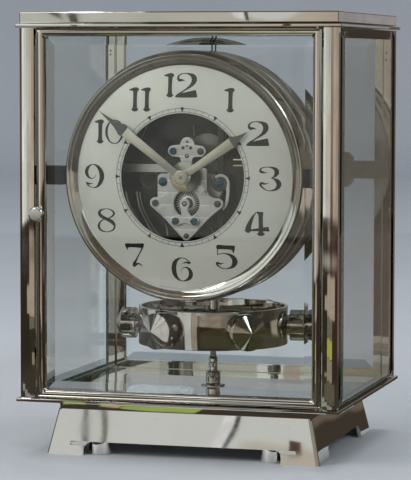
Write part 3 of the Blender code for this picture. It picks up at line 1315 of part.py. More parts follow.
def make_cross_bar():
    """Make the cross bar: a chamfered plate whose arms end in lugs behind the rear posts."""
    plate_half = CROSS_BAR_PLATE_WIDTH / 2
    tall = YOKE_HEIGHT / 2
    right = [
        (plate_half - CROSS_BAR_CHAMFER, -tall), (plate_half, CROSS_BAR_CHAMFER - tall),
        (plate_half, tall - CROSS_BAR_CHAMFER), (plate_half - CROSS_BAR_CHAMFER, tall),
    ]
    left = [(-x, z) for x, z in reversed(right)]
    bar_back = CROSS_BAR_FRONT + CROSS_BAR_THICKNESS
    bar = sheet("rear_cross_bar", [right + left], CROSS_BAR_FRONT, bar_back, SATIN, DIAL_CENTRE)
    lug_outer = PANE_INNER - SEAT_GAP
    lug_inner = CROSS_BAR_ARM_END - BRACKET_WIDTH
    arm_inner = plate_half - CROSS_BAR_THICKNESS
    arm_front, arm_back = CROSS_BAR_FRONT + SHOULDER, bar_back - SHOULDER
    for name, side in (("join_arm_left", -1), ("join_arm_right", 1)):
        corners = [
            (arm_inner, arm_front), (lug_outer, arm_front), (lug_outer, CROSS_BAR_BACK),
            (lug_inner, CROSS_BAR_BACK), (lug_inner, arm_back), (arm_inner, arm_back),
        ]
        outline = [(side * x, FRONT_Y + depth) for x, depth in corners]
        join(bar, slab(name, [outline], DIAL_HEIGHT - BRACKET_HEIGHT / 2, DIAL_HEIGHT + BRACKET_HEIGHT / 2))


def make_suspension():
    """Make the hanger under the top plate, the wire clamp on its pins and the wire."""
    top = CEILING - SEAT_GAP
    low = top - HANGER_HEIGHT
    hanger = box(
        "suspension_hanger", at(-HANGER_WIDTH / 2, WIRE_DEPTH - HANGER_DEPTH / 2, low),
        at(HANGER_WIDTH / 2, WIRE_DEPTH + HANGER_DEPTH / 2, top), BLACKED,
    )
    clamp_high = low - HANGER_PIN_LENGTH
    for name, side in (("join_pin_left", -1), ("join_pin_right", 1)):
        pin = [
            (0, low + HANGER_PIN_RADIUS), (HANGER_PIN_RADIUS, low + HANGER_PIN_RADIUS),
            (HANGER_PIN_RADIUS, clamp_high - HANGER_PIN_RADIUS), (0, clamp_high - HANGER_PIN_RADIUS),
        ]
        join(hanger, turned(name, pin, COARSE_STEPS, at(side * HANGER_PIN_SPACING / 2, WIRE_DEPTH, 0)))
    clamp = box(
        "join_clamp", at(-CLAMP_WIDTH / 2, WIRE_DEPTH - CLAMP_DEPTH / 2, CLAMP_LOW),
        at(CLAMP_WIDTH / 2, WIRE_DEPTH + CLAMP_DEPTH / 2, clamp_high),
    )
    join(hanger, clamp)
    wire_top = CLAMP_LOW - SEAT_GAP
    wire_low = HUB_LOW + HUB_LENGTH + STEM_LENGTH + SEAT_GAP
    turned(
        "torsion_wire",
        [(0, wire_top), (WIRE_RADIUS, wire_top), (WIRE_RADIUS, wire_low), (0, wire_low)],
        COARSE_STEPS, at(0, WIRE_DEPTH, 0), STEEL,
    )


def weight_direction(index):
    """Return the bearing of a weight, from the front towards the right."""
    return FIRST_WEIGHT_BEARING + 2 * math.pi * index / WEIGHT_COUNT


def make_pendulum():
    """Make the pendulum's ring, its spider with hub and stem, and the six weights."""
    turned(
        "pendulum_ring",
        [(RING_RADIUS, RING_LOW + RING_HEIGHT), (RING_RADIUS, RING_LOW),
         (RING_RADIUS - RING_WALL, RING_LOW), (RING_RADIUS - RING_WALL, RING_LOW + RING_HEIGHT)],
        LARGE_STEPS, at(0, WIRE_DEPTH, 0), STEEL, ring=True,
    )
    hub_top = HUB_LOW + HUB_LENGTH
    spider = turned(
        "pendulum_spider",
        [(0, hub_top + STEM_LENGTH), (STEM_RADIUS, hub_top + STEM_LENGTH), (STEM_RADIUS, hub_top),
         (HUB_RADIUS, hub_top), (HUB_RADIUS, HUB_LOW), (GUIDE_PIN_RADIUS, HUB_LOW),
         (GUIDE_PIN_RADIUS, HUB_LOW - GUIDE_PIN_LENGTH), (0, HUB_LOW - GUIDE_PIN_LENGTH)],
        FINE_STEPS, at(0, WIRE_DEPTH, 0), STEEL,
    )
    spoke_end = RING_RADIUS - RING_WALL - SEAT_GAP
    first_turn = FIRST_WEIGHT_BEARING - math.pi / 2
    for index in range(SPOKE_COUNT):
        mesh = bpy.data.meshes.new("join_spoke_%d" % index)
        shape = bmesh.new()
        bmesh.ops.create_cube(shape, size=1.0)
        bmesh.ops.scale(shape, vec=(spoke_end, SPOKE_WIDTH, SPOKE_THICKNESS), verts=shape.verts)
        bmesh.ops.translate(shape, vec=(spoke_end / 2, 0, 0), verts=shape.verts)
        shape.to_mesh(mesh)
        shape.free()
        turn = first_turn + 2 * math.pi * index / SPOKE_COUNT
        join(spider, add_object(mesh.name, mesh, None, at(0, WIRE_DEPTH, RING_MIDDLE), (0, 0, turn)))
    for index in range(WEIGHT_COUNT):
        make_weight(index)


def make_weight(index):
    """Make one conical-ended weight, standing out from the ring on its neck."""
    share = SMALL_WEIGHT_SHARE if index in SMALL_WEIGHTS else LARGE_WEIGHT_SHARE
    radius = RING_RADIUS * share
    neck = RING_RADIUS * WEIGHT_NECK_SHARE
    start = RING_RADIUS + SEAT_GAP
    shoulder = RING_RADIUS + WEIGHT_NECK
    body_end = shoulder + WEIGHT_BODY
    profile = [
        (0, body_end + WEIGHT_POINT), (radius - WEIGHT_EDGE, body_end), (radius, body_end - WEIGHT_EDGE),
        (radius, shoulder), (neck, shoulder), (neck, start), (0, start),
    ]
    direction = weight_direction(index)
    turned(
        "pendulum_weight_%d" % (index + 1), profile, FINE_STEPS, at(0, WIRE_DEPTH, RING_MIDDLE), STEEL,
        (math.pi / 2, 0, direction),
    )


def make_floor_pillar():
    """Make the pillar under the pendulum and the sleeve that slides up to lock it."""
    low = FLOOR + SEAT_GAP
    flange_top = low + PILLAR_FLANGE_HEIGHT
    bore = LOCK_RADIUS + RUN_GAP
    sleeve_top = COLLET_TOP + LOCK_VISIBLE
    sleeve_low = sleeve_top - LOCK_LENGTH
    turned(
        "floor_pillar",
        [(COLLET_RADIUS, COLLET_TOP), (COLLET_RADIUS, flange_top), (PILLAR_FLANGE_RADIUS, flange_top),
         (PILLAR_FLANGE_RADIUS, low), (bore, low), (bore, COLLET_TOP)],
        FINE_STEPS, at(0, WIRE_DEPTH, 0), STEEL, ring=True,
    )
    turned(
        "lock_sleeve",
        [(LOCK_RADIUS, sleeve_top), (LOCK_RADIUS, sleeve_low),
         (LOCK_BORE_RADIUS, sleeve_low), (LOCK_BORE_RADIUS, sleeve_top)],
        FINE_STEPS, at(0, WIRE_DEPTH, 0), NICKEL, ring=True,
    )


make_plinth()
make_feet()
make_case_plates()
make_posts()
make_side_panes()
make_door()
make_knob()
make_bezel_and_dial()
make_brackets()
make_plates()
make_centre_wheel()
make_train()
make_motion_work()
make_hands()
make_barrel()
make_drum()
make_rear_support()
make_suspension()
make_pendulum()
make_floor_pillar()
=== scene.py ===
"""Glazed mantel clock: finishes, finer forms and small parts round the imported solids."""
import json
import math

import bmesh
import bpy
from mathutils import Matrix, Vector


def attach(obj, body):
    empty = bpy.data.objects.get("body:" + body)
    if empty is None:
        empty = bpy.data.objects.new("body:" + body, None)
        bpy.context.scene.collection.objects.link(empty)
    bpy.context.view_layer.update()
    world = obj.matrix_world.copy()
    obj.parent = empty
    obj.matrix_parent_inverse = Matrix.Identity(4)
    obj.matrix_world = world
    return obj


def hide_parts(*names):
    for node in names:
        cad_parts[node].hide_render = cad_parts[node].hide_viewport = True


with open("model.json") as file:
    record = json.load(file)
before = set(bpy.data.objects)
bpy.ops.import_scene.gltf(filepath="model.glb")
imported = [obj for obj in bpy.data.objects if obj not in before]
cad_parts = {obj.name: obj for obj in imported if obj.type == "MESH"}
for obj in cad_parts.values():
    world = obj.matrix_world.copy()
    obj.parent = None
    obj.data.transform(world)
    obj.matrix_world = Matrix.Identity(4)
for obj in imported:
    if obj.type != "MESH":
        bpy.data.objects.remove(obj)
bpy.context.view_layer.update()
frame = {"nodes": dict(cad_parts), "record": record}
NODES = frame["nodes"]
MM = 0.001
FRONT_Y = -0.0745

# Camera
CAMERA_PLACE = (0.38448, -1.35489, 0.22284)
CAMERA_TURN = math.radians(16.01)
CAMERA_PITCH = math.radians(4.216)
CAMERA_ROLL = math.radians(-0.1)
CAMERA_LENS = 182.11
SENSOR = 36.0
CAMERA_NEAR, CAMERA_FAR = 0.01, 50


def make_camera():
    """Stand the camera where the photograph was taken from."""
    data = bpy.data.cameras.new("camera")
    data.sensor_fit = "VERTICAL"
    data.sensor_width = SENSOR
    data.sensor_height = SENSOR
    data.lens = CAMERA_LENS
    data.clip_start = CAMERA_NEAR
    data.clip_end = CAMERA_FAR
    camera = bpy.data.objects.new("camera", data)
    bpy.context.scene.collection.objects.link(camera)
    ahead = Vector((
        -math.sin(CAMERA_TURN) * math.cos(CAMERA_PITCH),
        math.cos(CAMERA_TURN) * math.cos(CAMERA_PITCH),
        -math.sin(CAMERA_PITCH),
    ))
    level = ahead.cross(Vector((0, 0, 1))).normalized()
    down = ahead.cross(level).normalized()
    right = math.cos(CAMERA_ROLL) * level + math.sin(CAMERA_ROLL) * down
    below = -math.sin(CAMERA_ROLL) * level + math.cos(CAMERA_ROLL) * down
    matrix = Matrix.Identity(4)
    for row in range(3):
        matrix[row][0], matrix[row][1], matrix[row][2] = right[row], -below[row], -ahead[row]
        matrix[row][3] = CAMERA_PLACE[row]
    camera.matrix_world = matrix
    bpy.context.scene.camera = camera


make_camera()


def link_object(name, data):
    """Link new data as an object of the scene."""
    thing = bpy.data.objects.new(name, data)
    bpy.context.scene.collection.objects.link(thing)
    return thing


# Finishes
class Finish:
    """A material with the few node calls that the finishes below share."""

    def __init__(self, name):
        self.material = bpy.data.materials.new(name)
        self.material.use_nodes = True
        self.tree = self.material.node_tree
        self.shader = self.tree.nodes["Principled BSDF"]
        self.output = self.tree.nodes["Material Output"]
        self.coords = self.tree.nodes.new("ShaderNodeTexCoord").outputs["Object"]

    def put(self, value, end):
        """Link a socket to an input, or set a number or colour on it."""
        if isinstance(value, bpy.types.NodeSocket):
            self.tree.links.new(value, end)
        else:
            end.default_value = (*value, 1.0) if end.type == "RGBA" else value

    def feed(self, name, value):
        """Set or link the shader's input of this name."""
        self.put(value, self.shader.inputs[name])

    def node(self, kind, inputs=(), **settings):
        """Add a node with these settings, and set or link its inputs."""
        node = self.tree.nodes.new("ShaderNode" + kind)
        for setting, value in settings.items():
            setattr(node, setting, value)
        for place, value in dict(inputs).items():
            self.put(value, node.inputs[place])
        return node

    def stretched(self, scale):
        """Return the coordinates scaled by three numbers."""
        return self.node("Mapping", {"Vector": self.coords, "Scale": scale}).outputs[0]

    def noise(self, scale, detail=3.0, rough=0.55, coords=None):
        inputs = {"Vector": coords or self.coords, "Scale": scale, "Detail": detail, "Roughness": rough}
        return self.node("TexNoise", inputs).outputs["Fac"]

    def ranged(self, value, low=0.0, high=1.0, start=0.3, end=0.7):
        """Map a value between start and end onto another range."""
        inputs = {"Value": value, "From Min": start, "From Max": end, "To Min": low, "To Max": high}
        return self.node("MapRange", inputs).outputs["Result"]

    def mixed(self, share, first, second):
        """Mix two colours, each a tuple or a socket."""
        return self.node("Mix", {0: share, 6: first, 7: second}, data_type="RGBA").outputs[2]

    def maths(self, operation, first, second=0.5):
        return self.node("Math", {0: first, 1: second}, operation=operation).outputs[0]

    def bumped(self, height, strength, distance=0.0002, normal=None):
        inputs = {"Strength": strength, "Distance": distance, "Height": height}
        if normal is not None:
            inputs["Normal"] = normal
        return self.node("Bump", inputs).outputs[0]

    def show(self, share, first, second):
        """Let the surface be a mix of two shaders."""
        both = self.node("MixShader", {0: share, 1: first, 2: second})
        self.put(both.outputs[0], self.output.inputs["Surface"])

    def done(self, colour, metallic, roughness, normal):
        """Feed the shader's main inputs and return the material."""
        self.feed("Base Color", colour)
        self.feed("Metallic", metallic)
        self.feed("Roughness", roughness)
        self.feed("Normal", normal)
        return self.material


def metal(name, colour, tint, roughness, wave=(18.0, 0.25), grain=(900.0, 0.08), scratch=None):
    """Return a metal with cloudy tint, uneven polish and a slightly wavy surface."""
    finish = Finish(name)
    spots = finish.ranged(finish.noise(420.0, 3.0, 0.7), 0.0, 1.0, 0.62, 0.8)
    base = finish.mixed(finish.ranged(finish.noise(26.0, 4.0)), colour, tint)
    darker = tuple(share * 0.72 for share in tint)
    base = finish.mixed(finish.maths("MULTIPLY", spots, 0.35), base, darker)
    polish = finish.ranged(finish.noise(60.0, 5.0, 0.65), *roughness, 0.3, 0.72)
    normal = finish.bumped(finish.noise(wave[0], 1.0), wave[1], 0.01)
    normal = finish.bumped(finish.noise(grain[0], 3.0, 0.6), grain[1], normal=normal)
    if scratch is not None:
        streaks = finish.noise(1.0, 2.0, 0.6, finish.stretched(scratch[0]))
        normal = finish.bumped(streaks, scratch[1], normal=normal)
    return finish.done(base, 1.0, polish, normal)


def glass(name, tint, density, roughness=0.0):
    """Return clear glass that lets lamps through and is tinted in its depth."""
    finish = Finish(name)
    cloud = finish.ranged(finish.noise(30.0, 2.0))
    finish.feed("Base Color", finish.mixed(cloud, (1.0, 1.0, 1.0), (0.965, 0.985, 0.98)))
    smears = finish.noise(70.0, 4.0, 0.7)
    finish.feed("Roughness", finish.ranged(smears, roughness, roughness + 0.012, 0.5, 0.8))
    finish.feed("Transmission Weight", 1.0)
    finish.feed("IOR", 1.5)
    clear = finish.node("BsdfTransparent", {"Color": (0.94, 0.965, 0.955)})
    path = finish.node("LightPath")
    finish.show(path.outputs["Is Shadow Ray"], finish.shader.outputs[0], clear.outputs[0])
    depth = finish.node("VolumeAbsorption", {"Color": tint, "Density": density})
    finish.put(depth.outputs[0], finish.output.inputs["Volume"])
    return finish.material


def paint(name, colour, tint, roughness, grain=700.0, specular=0.5):
    """Return a matt or satin lacquer with slight mottling."""
    finish = Finish(name)
    finish.feed("Specular IOR Level", specular)
    base = finish.mixed(finish.ranged(finish.noise(90.0, 4.0, 0.6)), colour, tint)
    polish = finish.ranged(finish.noise(200.0, 3.0), roughness - 0.08, roughness + 0.08)
    return finish.done(base, 0.0, polish, finish.bumped(finish.noise(grain, 3.0, 0.6), 0.25))


def silvered():
    """Return the dial's matt silvering: fine grain, faint clouds and a few specks."""
    finish = Finish("silvered_dial_finish")
    cloud = finish.ranged(finish.noise(38.0, 5.0, 0.6))
    base = finish.mixed(cloud, (0.5, 0.475, 0.43), (0.45, 0.425, 0.385))
    specks = finish.ranged(finish.noise(650.0, 2.0, 0.5), 0.0, 1.0, 0.7, 0.78)
    base = finish.mixed(finish.maths("MULTIPLY", specks, 0.3), base, (0.4, 0.39, 0.35))
    polish = finish.ranged(finish.noise(120.0, 4.0), 0.42, 0.56)
    return finish.done(base, 0.25, polish, finish.bumped(finish.noise(1500.0, 3.0, 0.7), 0.35, 0.0001))


STRIPE_FOOT, STRIPE_PITCH = 0.1492, 0.00685


def striped():
    """Return the bridge's nickel: broad level bands with painted shading across each, each ending in a
    painted highlight line.
    """
    finish = Finish("striped_nickel_painted_sheen_finish")
    height = finish.node("SeparateXYZ", {0: finish.coords}).outputs["Z"]
    level = finish.maths("DIVIDE", finish.maths("SUBTRACT", height, STRIPE_FOOT), STRIPE_PITCH)
    level = finish.maths("FRACT", level)
    line = finish.maths("ABSOLUTE", finish.maths("SUBTRACT", level, 0.5))
    grain = finish.noise(1.0, 3.0, 0.6, finish.stretched((300.0, 300.0, 1800.0)))
    # Painted shading: each band grows lighter across its width.
    base = finish.mixed(finish.ranged(level, 0.0, 1.0, 0.0, 1.0), (0.62, 0.61, 0.59), (0.72, 0.71, 0.69))
    base = finish.mixed(finish.ranged(grain, 0.0, 0.35), base, (0.5, 0.49, 0.47))
    # Painted highlight: a near white line at the edge of each band.
    base = finish.mixed(finish.ranged(line, 0.0, 0.75, 0.44, 0.48), base, (0.95, 0.95, 0.95))
    polish = finish.ranged(finish.noise(200.0, 3.0), 0.3, 0.44)
    return finish.done(base, 1.0, polish, finish.bumped(finish.noise(1400.0, 3.0, 0.6), 0.3))


def fanned(name, centre, light, dark):
    """Return metal brushed round a centre in millimetres, with a painted fan of highlight and shade round it.
    """
    finish = Finish(name)
    split = finish.node("SeparateXYZ", {0: finish.coords})
    across = finish.maths("SUBTRACT", split.outputs["X"], centre[0] * MM)
    up = finish.maths("SUBTRACT", split.outputs["Z"], centre[1] * MM)
    turn = finish.maths("ARCTAN2", up, across)
    # Painted highlight and shade: lighter and darker sectors twice round the centre.
    broad = finish.maths("COSINE", finish.maths("MULTIPLY", turn, 2.0))
    joined = finish.node("CombineXYZ", {0: finish.maths("COSINE", turn), 1: finish.maths("SINE", turn)})
    streaks = finish.noise(34.0, 3.0, 0.7, joined.outputs[0])
    value = finish.maths("ADD", finish.maths("MULTIPLY", broad, -0.32), streaks)
    base = finish.mixed(finish.ranged(value, 0.0, 1.0, 0.25, 0.7), dark, light)
    polish = finish.ranged(streaks, 0.28, 0.45)
    return finish.done(base, 1.0, polish, finish.bumped(finish.noise(900.0, 2.0), 0.1))


NICKEL = metal("polished_nickel_finish", (0.8, 0.785, 0.735), (0.775, 0.755, 0.7), (0.012, 0.04),
               (11.0, 0.14), (900.0, 0.0))
SATIN = metal("satin_nickel_finish", (0.78, 0.77, 0.73), (0.73, 0.72, 0.68), (0.18, 0.28), (30.0, 0.08),
              (1200.0, 0.2))
GRAINED = metal(
    "grained_nickel_finish", (0.74, 0.74, 0.72), (0.66, 0.66, 0.64), (0.26, 0.4), (30.0, 0.1), (1500.0, 0.35),
    ((180.0, 180.0, 2600.0), 0.25),
)
STEEL = metal("polished_steel_finish", (0.62, 0.6, 0.56), (0.55, 0.52, 0.48), (0.02, 0.07), (22.0, 0.12),
              (900.0, 0.03))
BRASS = metal("brass_finish", (0.68, 0.5, 0.27), (0.58, 0.41, 0.2), (0.2, 0.34), (30.0, 0.1))
SPRING = metal("spring_steel_finish", (0.3, 0.3, 0.32), (0.22, 0.23, 0.27), (0.2, 0.35), (30.0, 0.1))
BLACKED = paint("blackened_brass_finish", (0.016, 0.016, 0.015), (0.035, 0.032, 0.028), 0.42)
BRACKET = paint("black_bracket_finish", (0.011, 0.011, 0.011), (0.022, 0.021, 0.02), 0.5)
SILVERED = silvered()
PLATE_GLASS = glass("plate_glass_finish", (0.62, 0.86, 0.78), 26.0)
TUBE_GLASS = glass("tube_glass_finish", (0.75, 0.85, 0.8), 20.0, 0.02)

SLOT_FINISHES = {
    "polished_nickel": NICKEL, "satin_nickel": SATIN, "polished_steel": STEEL, "silvered_dial": SILVERED,
    "brass": BRASS, "blackened_brass": BLACKED, "plate_glass": PLATE_GLASS, "tube_glass": TUBE_GLASS,
    "movement_nickel": GRAINED, "hand_silver": SATIN, "spring_steel": SPRING, "black_bracket": BRACKET,
}


def dress_nodes():
    """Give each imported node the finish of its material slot."""
    for item in frame["record"]["subparts"]:
        mesh = NODES[item["node"]].data
        mesh.materials.clear()
        mesh.materials.append(SLOT_FINISHES[item["material_slot"]])


dress_nodes()

# Sizes in millimetres, depths counted back from the front of the posts
DIAL_X, DIAL_Z = 0.0, 158.3
DIAL_BASE, DIAL_CENTRE = (DIAL_X, 0, DIAL_Z), (DIAL_X, DIAL_Z)
WIRE_DEPTH = 77.4
RING_MIDDLE = 69.9

# Degrees from which an edge is sharp, on a wire too, metres below which points are joined, and
# millimetres below which a point lies on its axis
SHARP, WIRE_SHARP = 30.0, 50.0
WELD_GAP = 0.000002
ON_AXIS = 0.0001


def spot(x, depth, z):
    """Return the point at these millimetres."""
    return Vector((x * MM, FRONT_Y + depth * MM, z * MM))


def ridden(thing, body, replaced=()):
    """Fasten a piece to its body, and say what it stands for."""
    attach(thing, body)
    if replaced:
        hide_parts(*replaced)
    return thing


def keep_shape(name, shape, finish, sharp=SHARP):
    """Turn a bmesh into a smooth-shaded object with its sharp edges kept."""
    bmesh.ops.remove_doubles(shape, verts=shape.verts, dist=WELD_GAP)
    bmesh.ops.recalc_face_normals(shape, faces=shape.faces)
    mesh = bpy.data.meshes.new(name)
    shape.to_mesh(mesh)
    shape.free()
    mesh.materials.append(finish)
    mesh.shade_smooth()
    mesh.set_sharp_from_angle(angle=math.radians(sharp))
    return link_object(name, mesh)


def rounded(corners, segments=4, closed=True):
    """Round the corners (x, y, radius) of an outline by arcs."""
    outline = []
    count = len(corners)
    for index, corner in enumerate(corners):
        x, y = corner[:2]
        radius = corner[2] if len(corner) > 2 else 0.0
        end = not closed and index in (0, count - 1)
        if radius <= 0 or end:
            outline.append((x, y))
            continue
        here = Vector((x, y))
        before = Vector(corners[index - 1][:2]) - here
        after = Vector(corners[(index + 1) % count][:2]) - here
        half = before.angle(after) / 2
        reach = min(radius / math.tan(half), before.length * 0.499, after.length * 0.499)
        arc = reach * math.tan(half)
        inward = (before.normalized() + after.normalized()).normalized()
        centre = here + inward * (arc / math.sin(half))
        first = here + before.normalized() * reach - centre
        last = here + after.normalized() * reach - centre
        sweep = first.angle_signed(last)
        for step in range(segments + 1):
            turn = -sweep * step / segments
            cosine, sine = math.cos(turn), math.sin(turn)
            outline.append((
                centre.x + first.x * cosine - first.y * sine,
                centre.y + first.x * sine + first.y * cosine,
            ))
    return outline


def join_loops(shape, loops, around=True):
    """Join each loop of vertices to the next by faces, and the last to the first if asked."""
    pairs = list(zip(loops, loops[1:]))
    if around:
        pairs.append((loops[-1], loops[0]))
    for first, second in pairs:
        count = max(len(first), len(second))
        for step in range(count):
            following = (step + 1) % count
            corners = [loop[place % len(loop)] for loop, place in (
                (first, step), (second, step), (second, following), (first, following))]
            corners = list(dict.fromkeys(corners))
            if len(corners) > 2:
                shape.faces.new(corners)


def lathed(name, profile, base, finish, steps=96, axis="Y", closed=True, sharp=SHARP, turn=None):
    """Turn a profile of (radius, distance along the axis, corner radius) about a line through base.

    The distance is a depth for the axis Y and a height for the axis Z. A closed profile
    is a ring's section. An open one may start and end on the axis.
    """
    shape = bmesh.new()
    rings = []
    for radius, along in rounded(profile, 3, closed):
        ring = []
        for across, up in circle(0, 0, radius, 1 if radius < ON_AXIS else steps):
            if turn is not None:
                point = turn @ Vector((across, up, along)) * MM + spot(*base)
            elif axis == "Y":
                point = spot(base[0] + across, along, base[2] + up)
            else:
                point = spot(base[0] + across, base[1] + up, along)
            ring.append(shape.verts.new(point))
        rings.append(ring)
    join_loops(shape, rings, closed)
    return keep_shape(name, shape, finish, sharp)


def arc(x, y, radius, start, end, steps=10):
    """Return the points of an arc, its ends given in degrees."""
    turns = [math.radians(start + (end - start) * step / steps) for step in range(steps + 1)]
    return [(x + radius * math.cos(turn), y + radius * math.sin(turn)) for turn in turns]


def circle(x, y, radius, steps=32):
    """Return the points of a circle."""
    return arc(x, y, radius, 0, 360, steps)[:-1]


def curve_shape(name, lines, closed, **settings):
    """Return the solid that Blender makes of a curve with these settings."""
    curve = bpy.data.curves.new(name + "_line", "CURVE")
    for setting, value in settings.items():
        setattr(curve, setting, value)
    for line in lines:
        spline = curve.splines.new("POLY")
        spline.points.add(len(line) - 1)
        for point, place in zip(spline.points, line):
            point.co = (*place, 1)
        spline.use_cyclic_u = closed
    guide = link_object(name + "_guide", curve)
    graph = bpy.context.evaluated_depsgraph_get()
    made = bpy.data.meshes.new_from_object(guide.evaluated_get(graph))
    bpy.data.objects.remove(guide, do_unlink=True)
    shape = bmesh.new()
    shape.from_mesh(made)
    bpy.data.meshes.remove(made)
    return shape


def plated(name, loops, front, back, finish, centre=DIAL_CENTRE, edge=0.25, sharp=SHARP, rounds=1):
    """Make an upright plate with eased edges, its outline in millimetres as seen from the front."""
    flat = [[(x, y, 0) for x, y in loop] for loop in loops]
    shape = curve_shape(
        name, flat, True, dimensions="2D", fill_mode="BOTH", extrude=(back - front) / 2 - edge,
        bevel_depth=edge, bevel_resolution=rounds, offset=-edge)
    for vertex in shape.verts:
        x, y, z = vertex.co
        vertex.co = spot(centre[0] + x, (front + back) / 2 - z, centre[1] + y)
    return keep_shape(name, shape, finish, sharp)


def merged(name, things):
    """Join pieces of one finish or of several into one piece."""
    shape = bmesh.new()
    finishes = []
    for thing in things:
        start = len(shape.faces)
        shape.from_mesh(thing.data)
        shape.faces.ensure_lookup_table()
        finish = thing.data.materials[0]
        if finish not in finishes:
            finishes.append(finish)
        for face in shape.faces[start:]:
            face.material_index = finishes.index(finish)
    mesh = bpy.data.meshes.new(name)
    shape.to_mesh(mesh)
    shape.free()
    for finish in finishes:
        mesh.materials.append(finish)
    mesh.set_sharp_from_angle(angle=math.radians(SHARP))
    for thing in things:
        bpy.data.objects.remove(thing, do_unlink=True)
    return link_object(name, mesh)


def tubed(name, points, radius, finish):
    """Make a round wire along points of (x, depth, z)."""
    line = smooth_points(points, 5) if len(points) > 2 else points
    shape = curve_shape(
        name, [line], False, dimensions="3D", bevel_depth=radius, bevel_resolution=2, use_fill_caps=True)
    for vertex in shape.verts:
        vertex.co = spot(*vertex.co)
    return keep_shape(name, shape, finish, WIRE_SHARP)


def brick(name, low, high, finish):
    """Make a plain block between two corners of (x, depth, z)."""
    shape = bmesh.new()
    bmesh.ops.create_cube(shape, size=1.0)
    start, end = spot(*low), spot(*high)
    for vertex in shape.verts:
        for axis in range(3):
            vertex.co[axis] = start[axis] if vertex.co[axis] < 0 else end[axis]
    return keep_shape(name, shape, finish)


def make_dial_side():
    """Make the bezel, dial and movement case as smooth turnings."""
    bezel = lathed(
        "bezel_rim",
        [(62.3, 16.4, 0.15), (64.3, 15.25, 3.0), (65.95, 14.45, 0.2), (66.1, 14.85), (66.3, 14.8),
         (66.42, 14.2, 0.1), (67.0, 13.95, 0.4), (67.9, 13.6, 0.5), (68.9, 14.4, 0.8), (70.0, 18.0, 4.0),
         (70.7, 21.0, 2.0), (70.7, 23.0, 0.2), (69.0, 23.0), (69.0, 18.9), (64.1, 18.9), (64.1, 17.0),
         (62.3, 17.0, 0.15)],
        DIAL_BASE, NICKEL, 160, sharp=50.0,
    )
    ridden(bezel, "case", ("bezel",))
    width = DIAL_OUTER - DIAL_INNER
    radii = [DIAL_INNER + width * step / DIAL_STEPS for step in range(DIAL_STEPS + 1)]
    front = [(radius, dial_depth(radius)) for radius in radii]
    behind = [(radius, depth + DIAL_THICKNESS) for radius, depth in reversed(front)]
    dial = lathed("dial_ring", front + behind, DIAL_BASE, SILVERED, 160)
    ridden(dial, "case", ("dial",))
    case = lathed(
        "movement_drum",
        [(70.4, 23.3), (70.4, 25.2, 0.1), (69.9, 25.5, 0.1), (69.9, 25.9, 0.1), (70.4, 26.2, 0.1),
         (70.4, 44.2, 0.3), (69.9, 45.7, 0.3), (69.2, 45.7), (69.2, 23.3)],
        DIAL_BASE, DARK_NICKEL, 144,
    )
    ridden(case, "case", ("movement_case",))


DIAL_INNER, DIAL_OUTER = 35.7, 63.8
DIAL_FRONT, DIAL_DISH, DIAL_THICKNESS = 13.3, 3.7, 0.6
DIAL_STEPS = 10


def dial_depth(radius):
    """Return how far back the dial's face lies at this radius."""
    share = min(max((radius - DIAL_INNER) / (DIAL_OUTER - DIAL_INNER), 0.0), 1.0)
    return DIAL_FRONT + DIAL_DISH * share ** 1.5


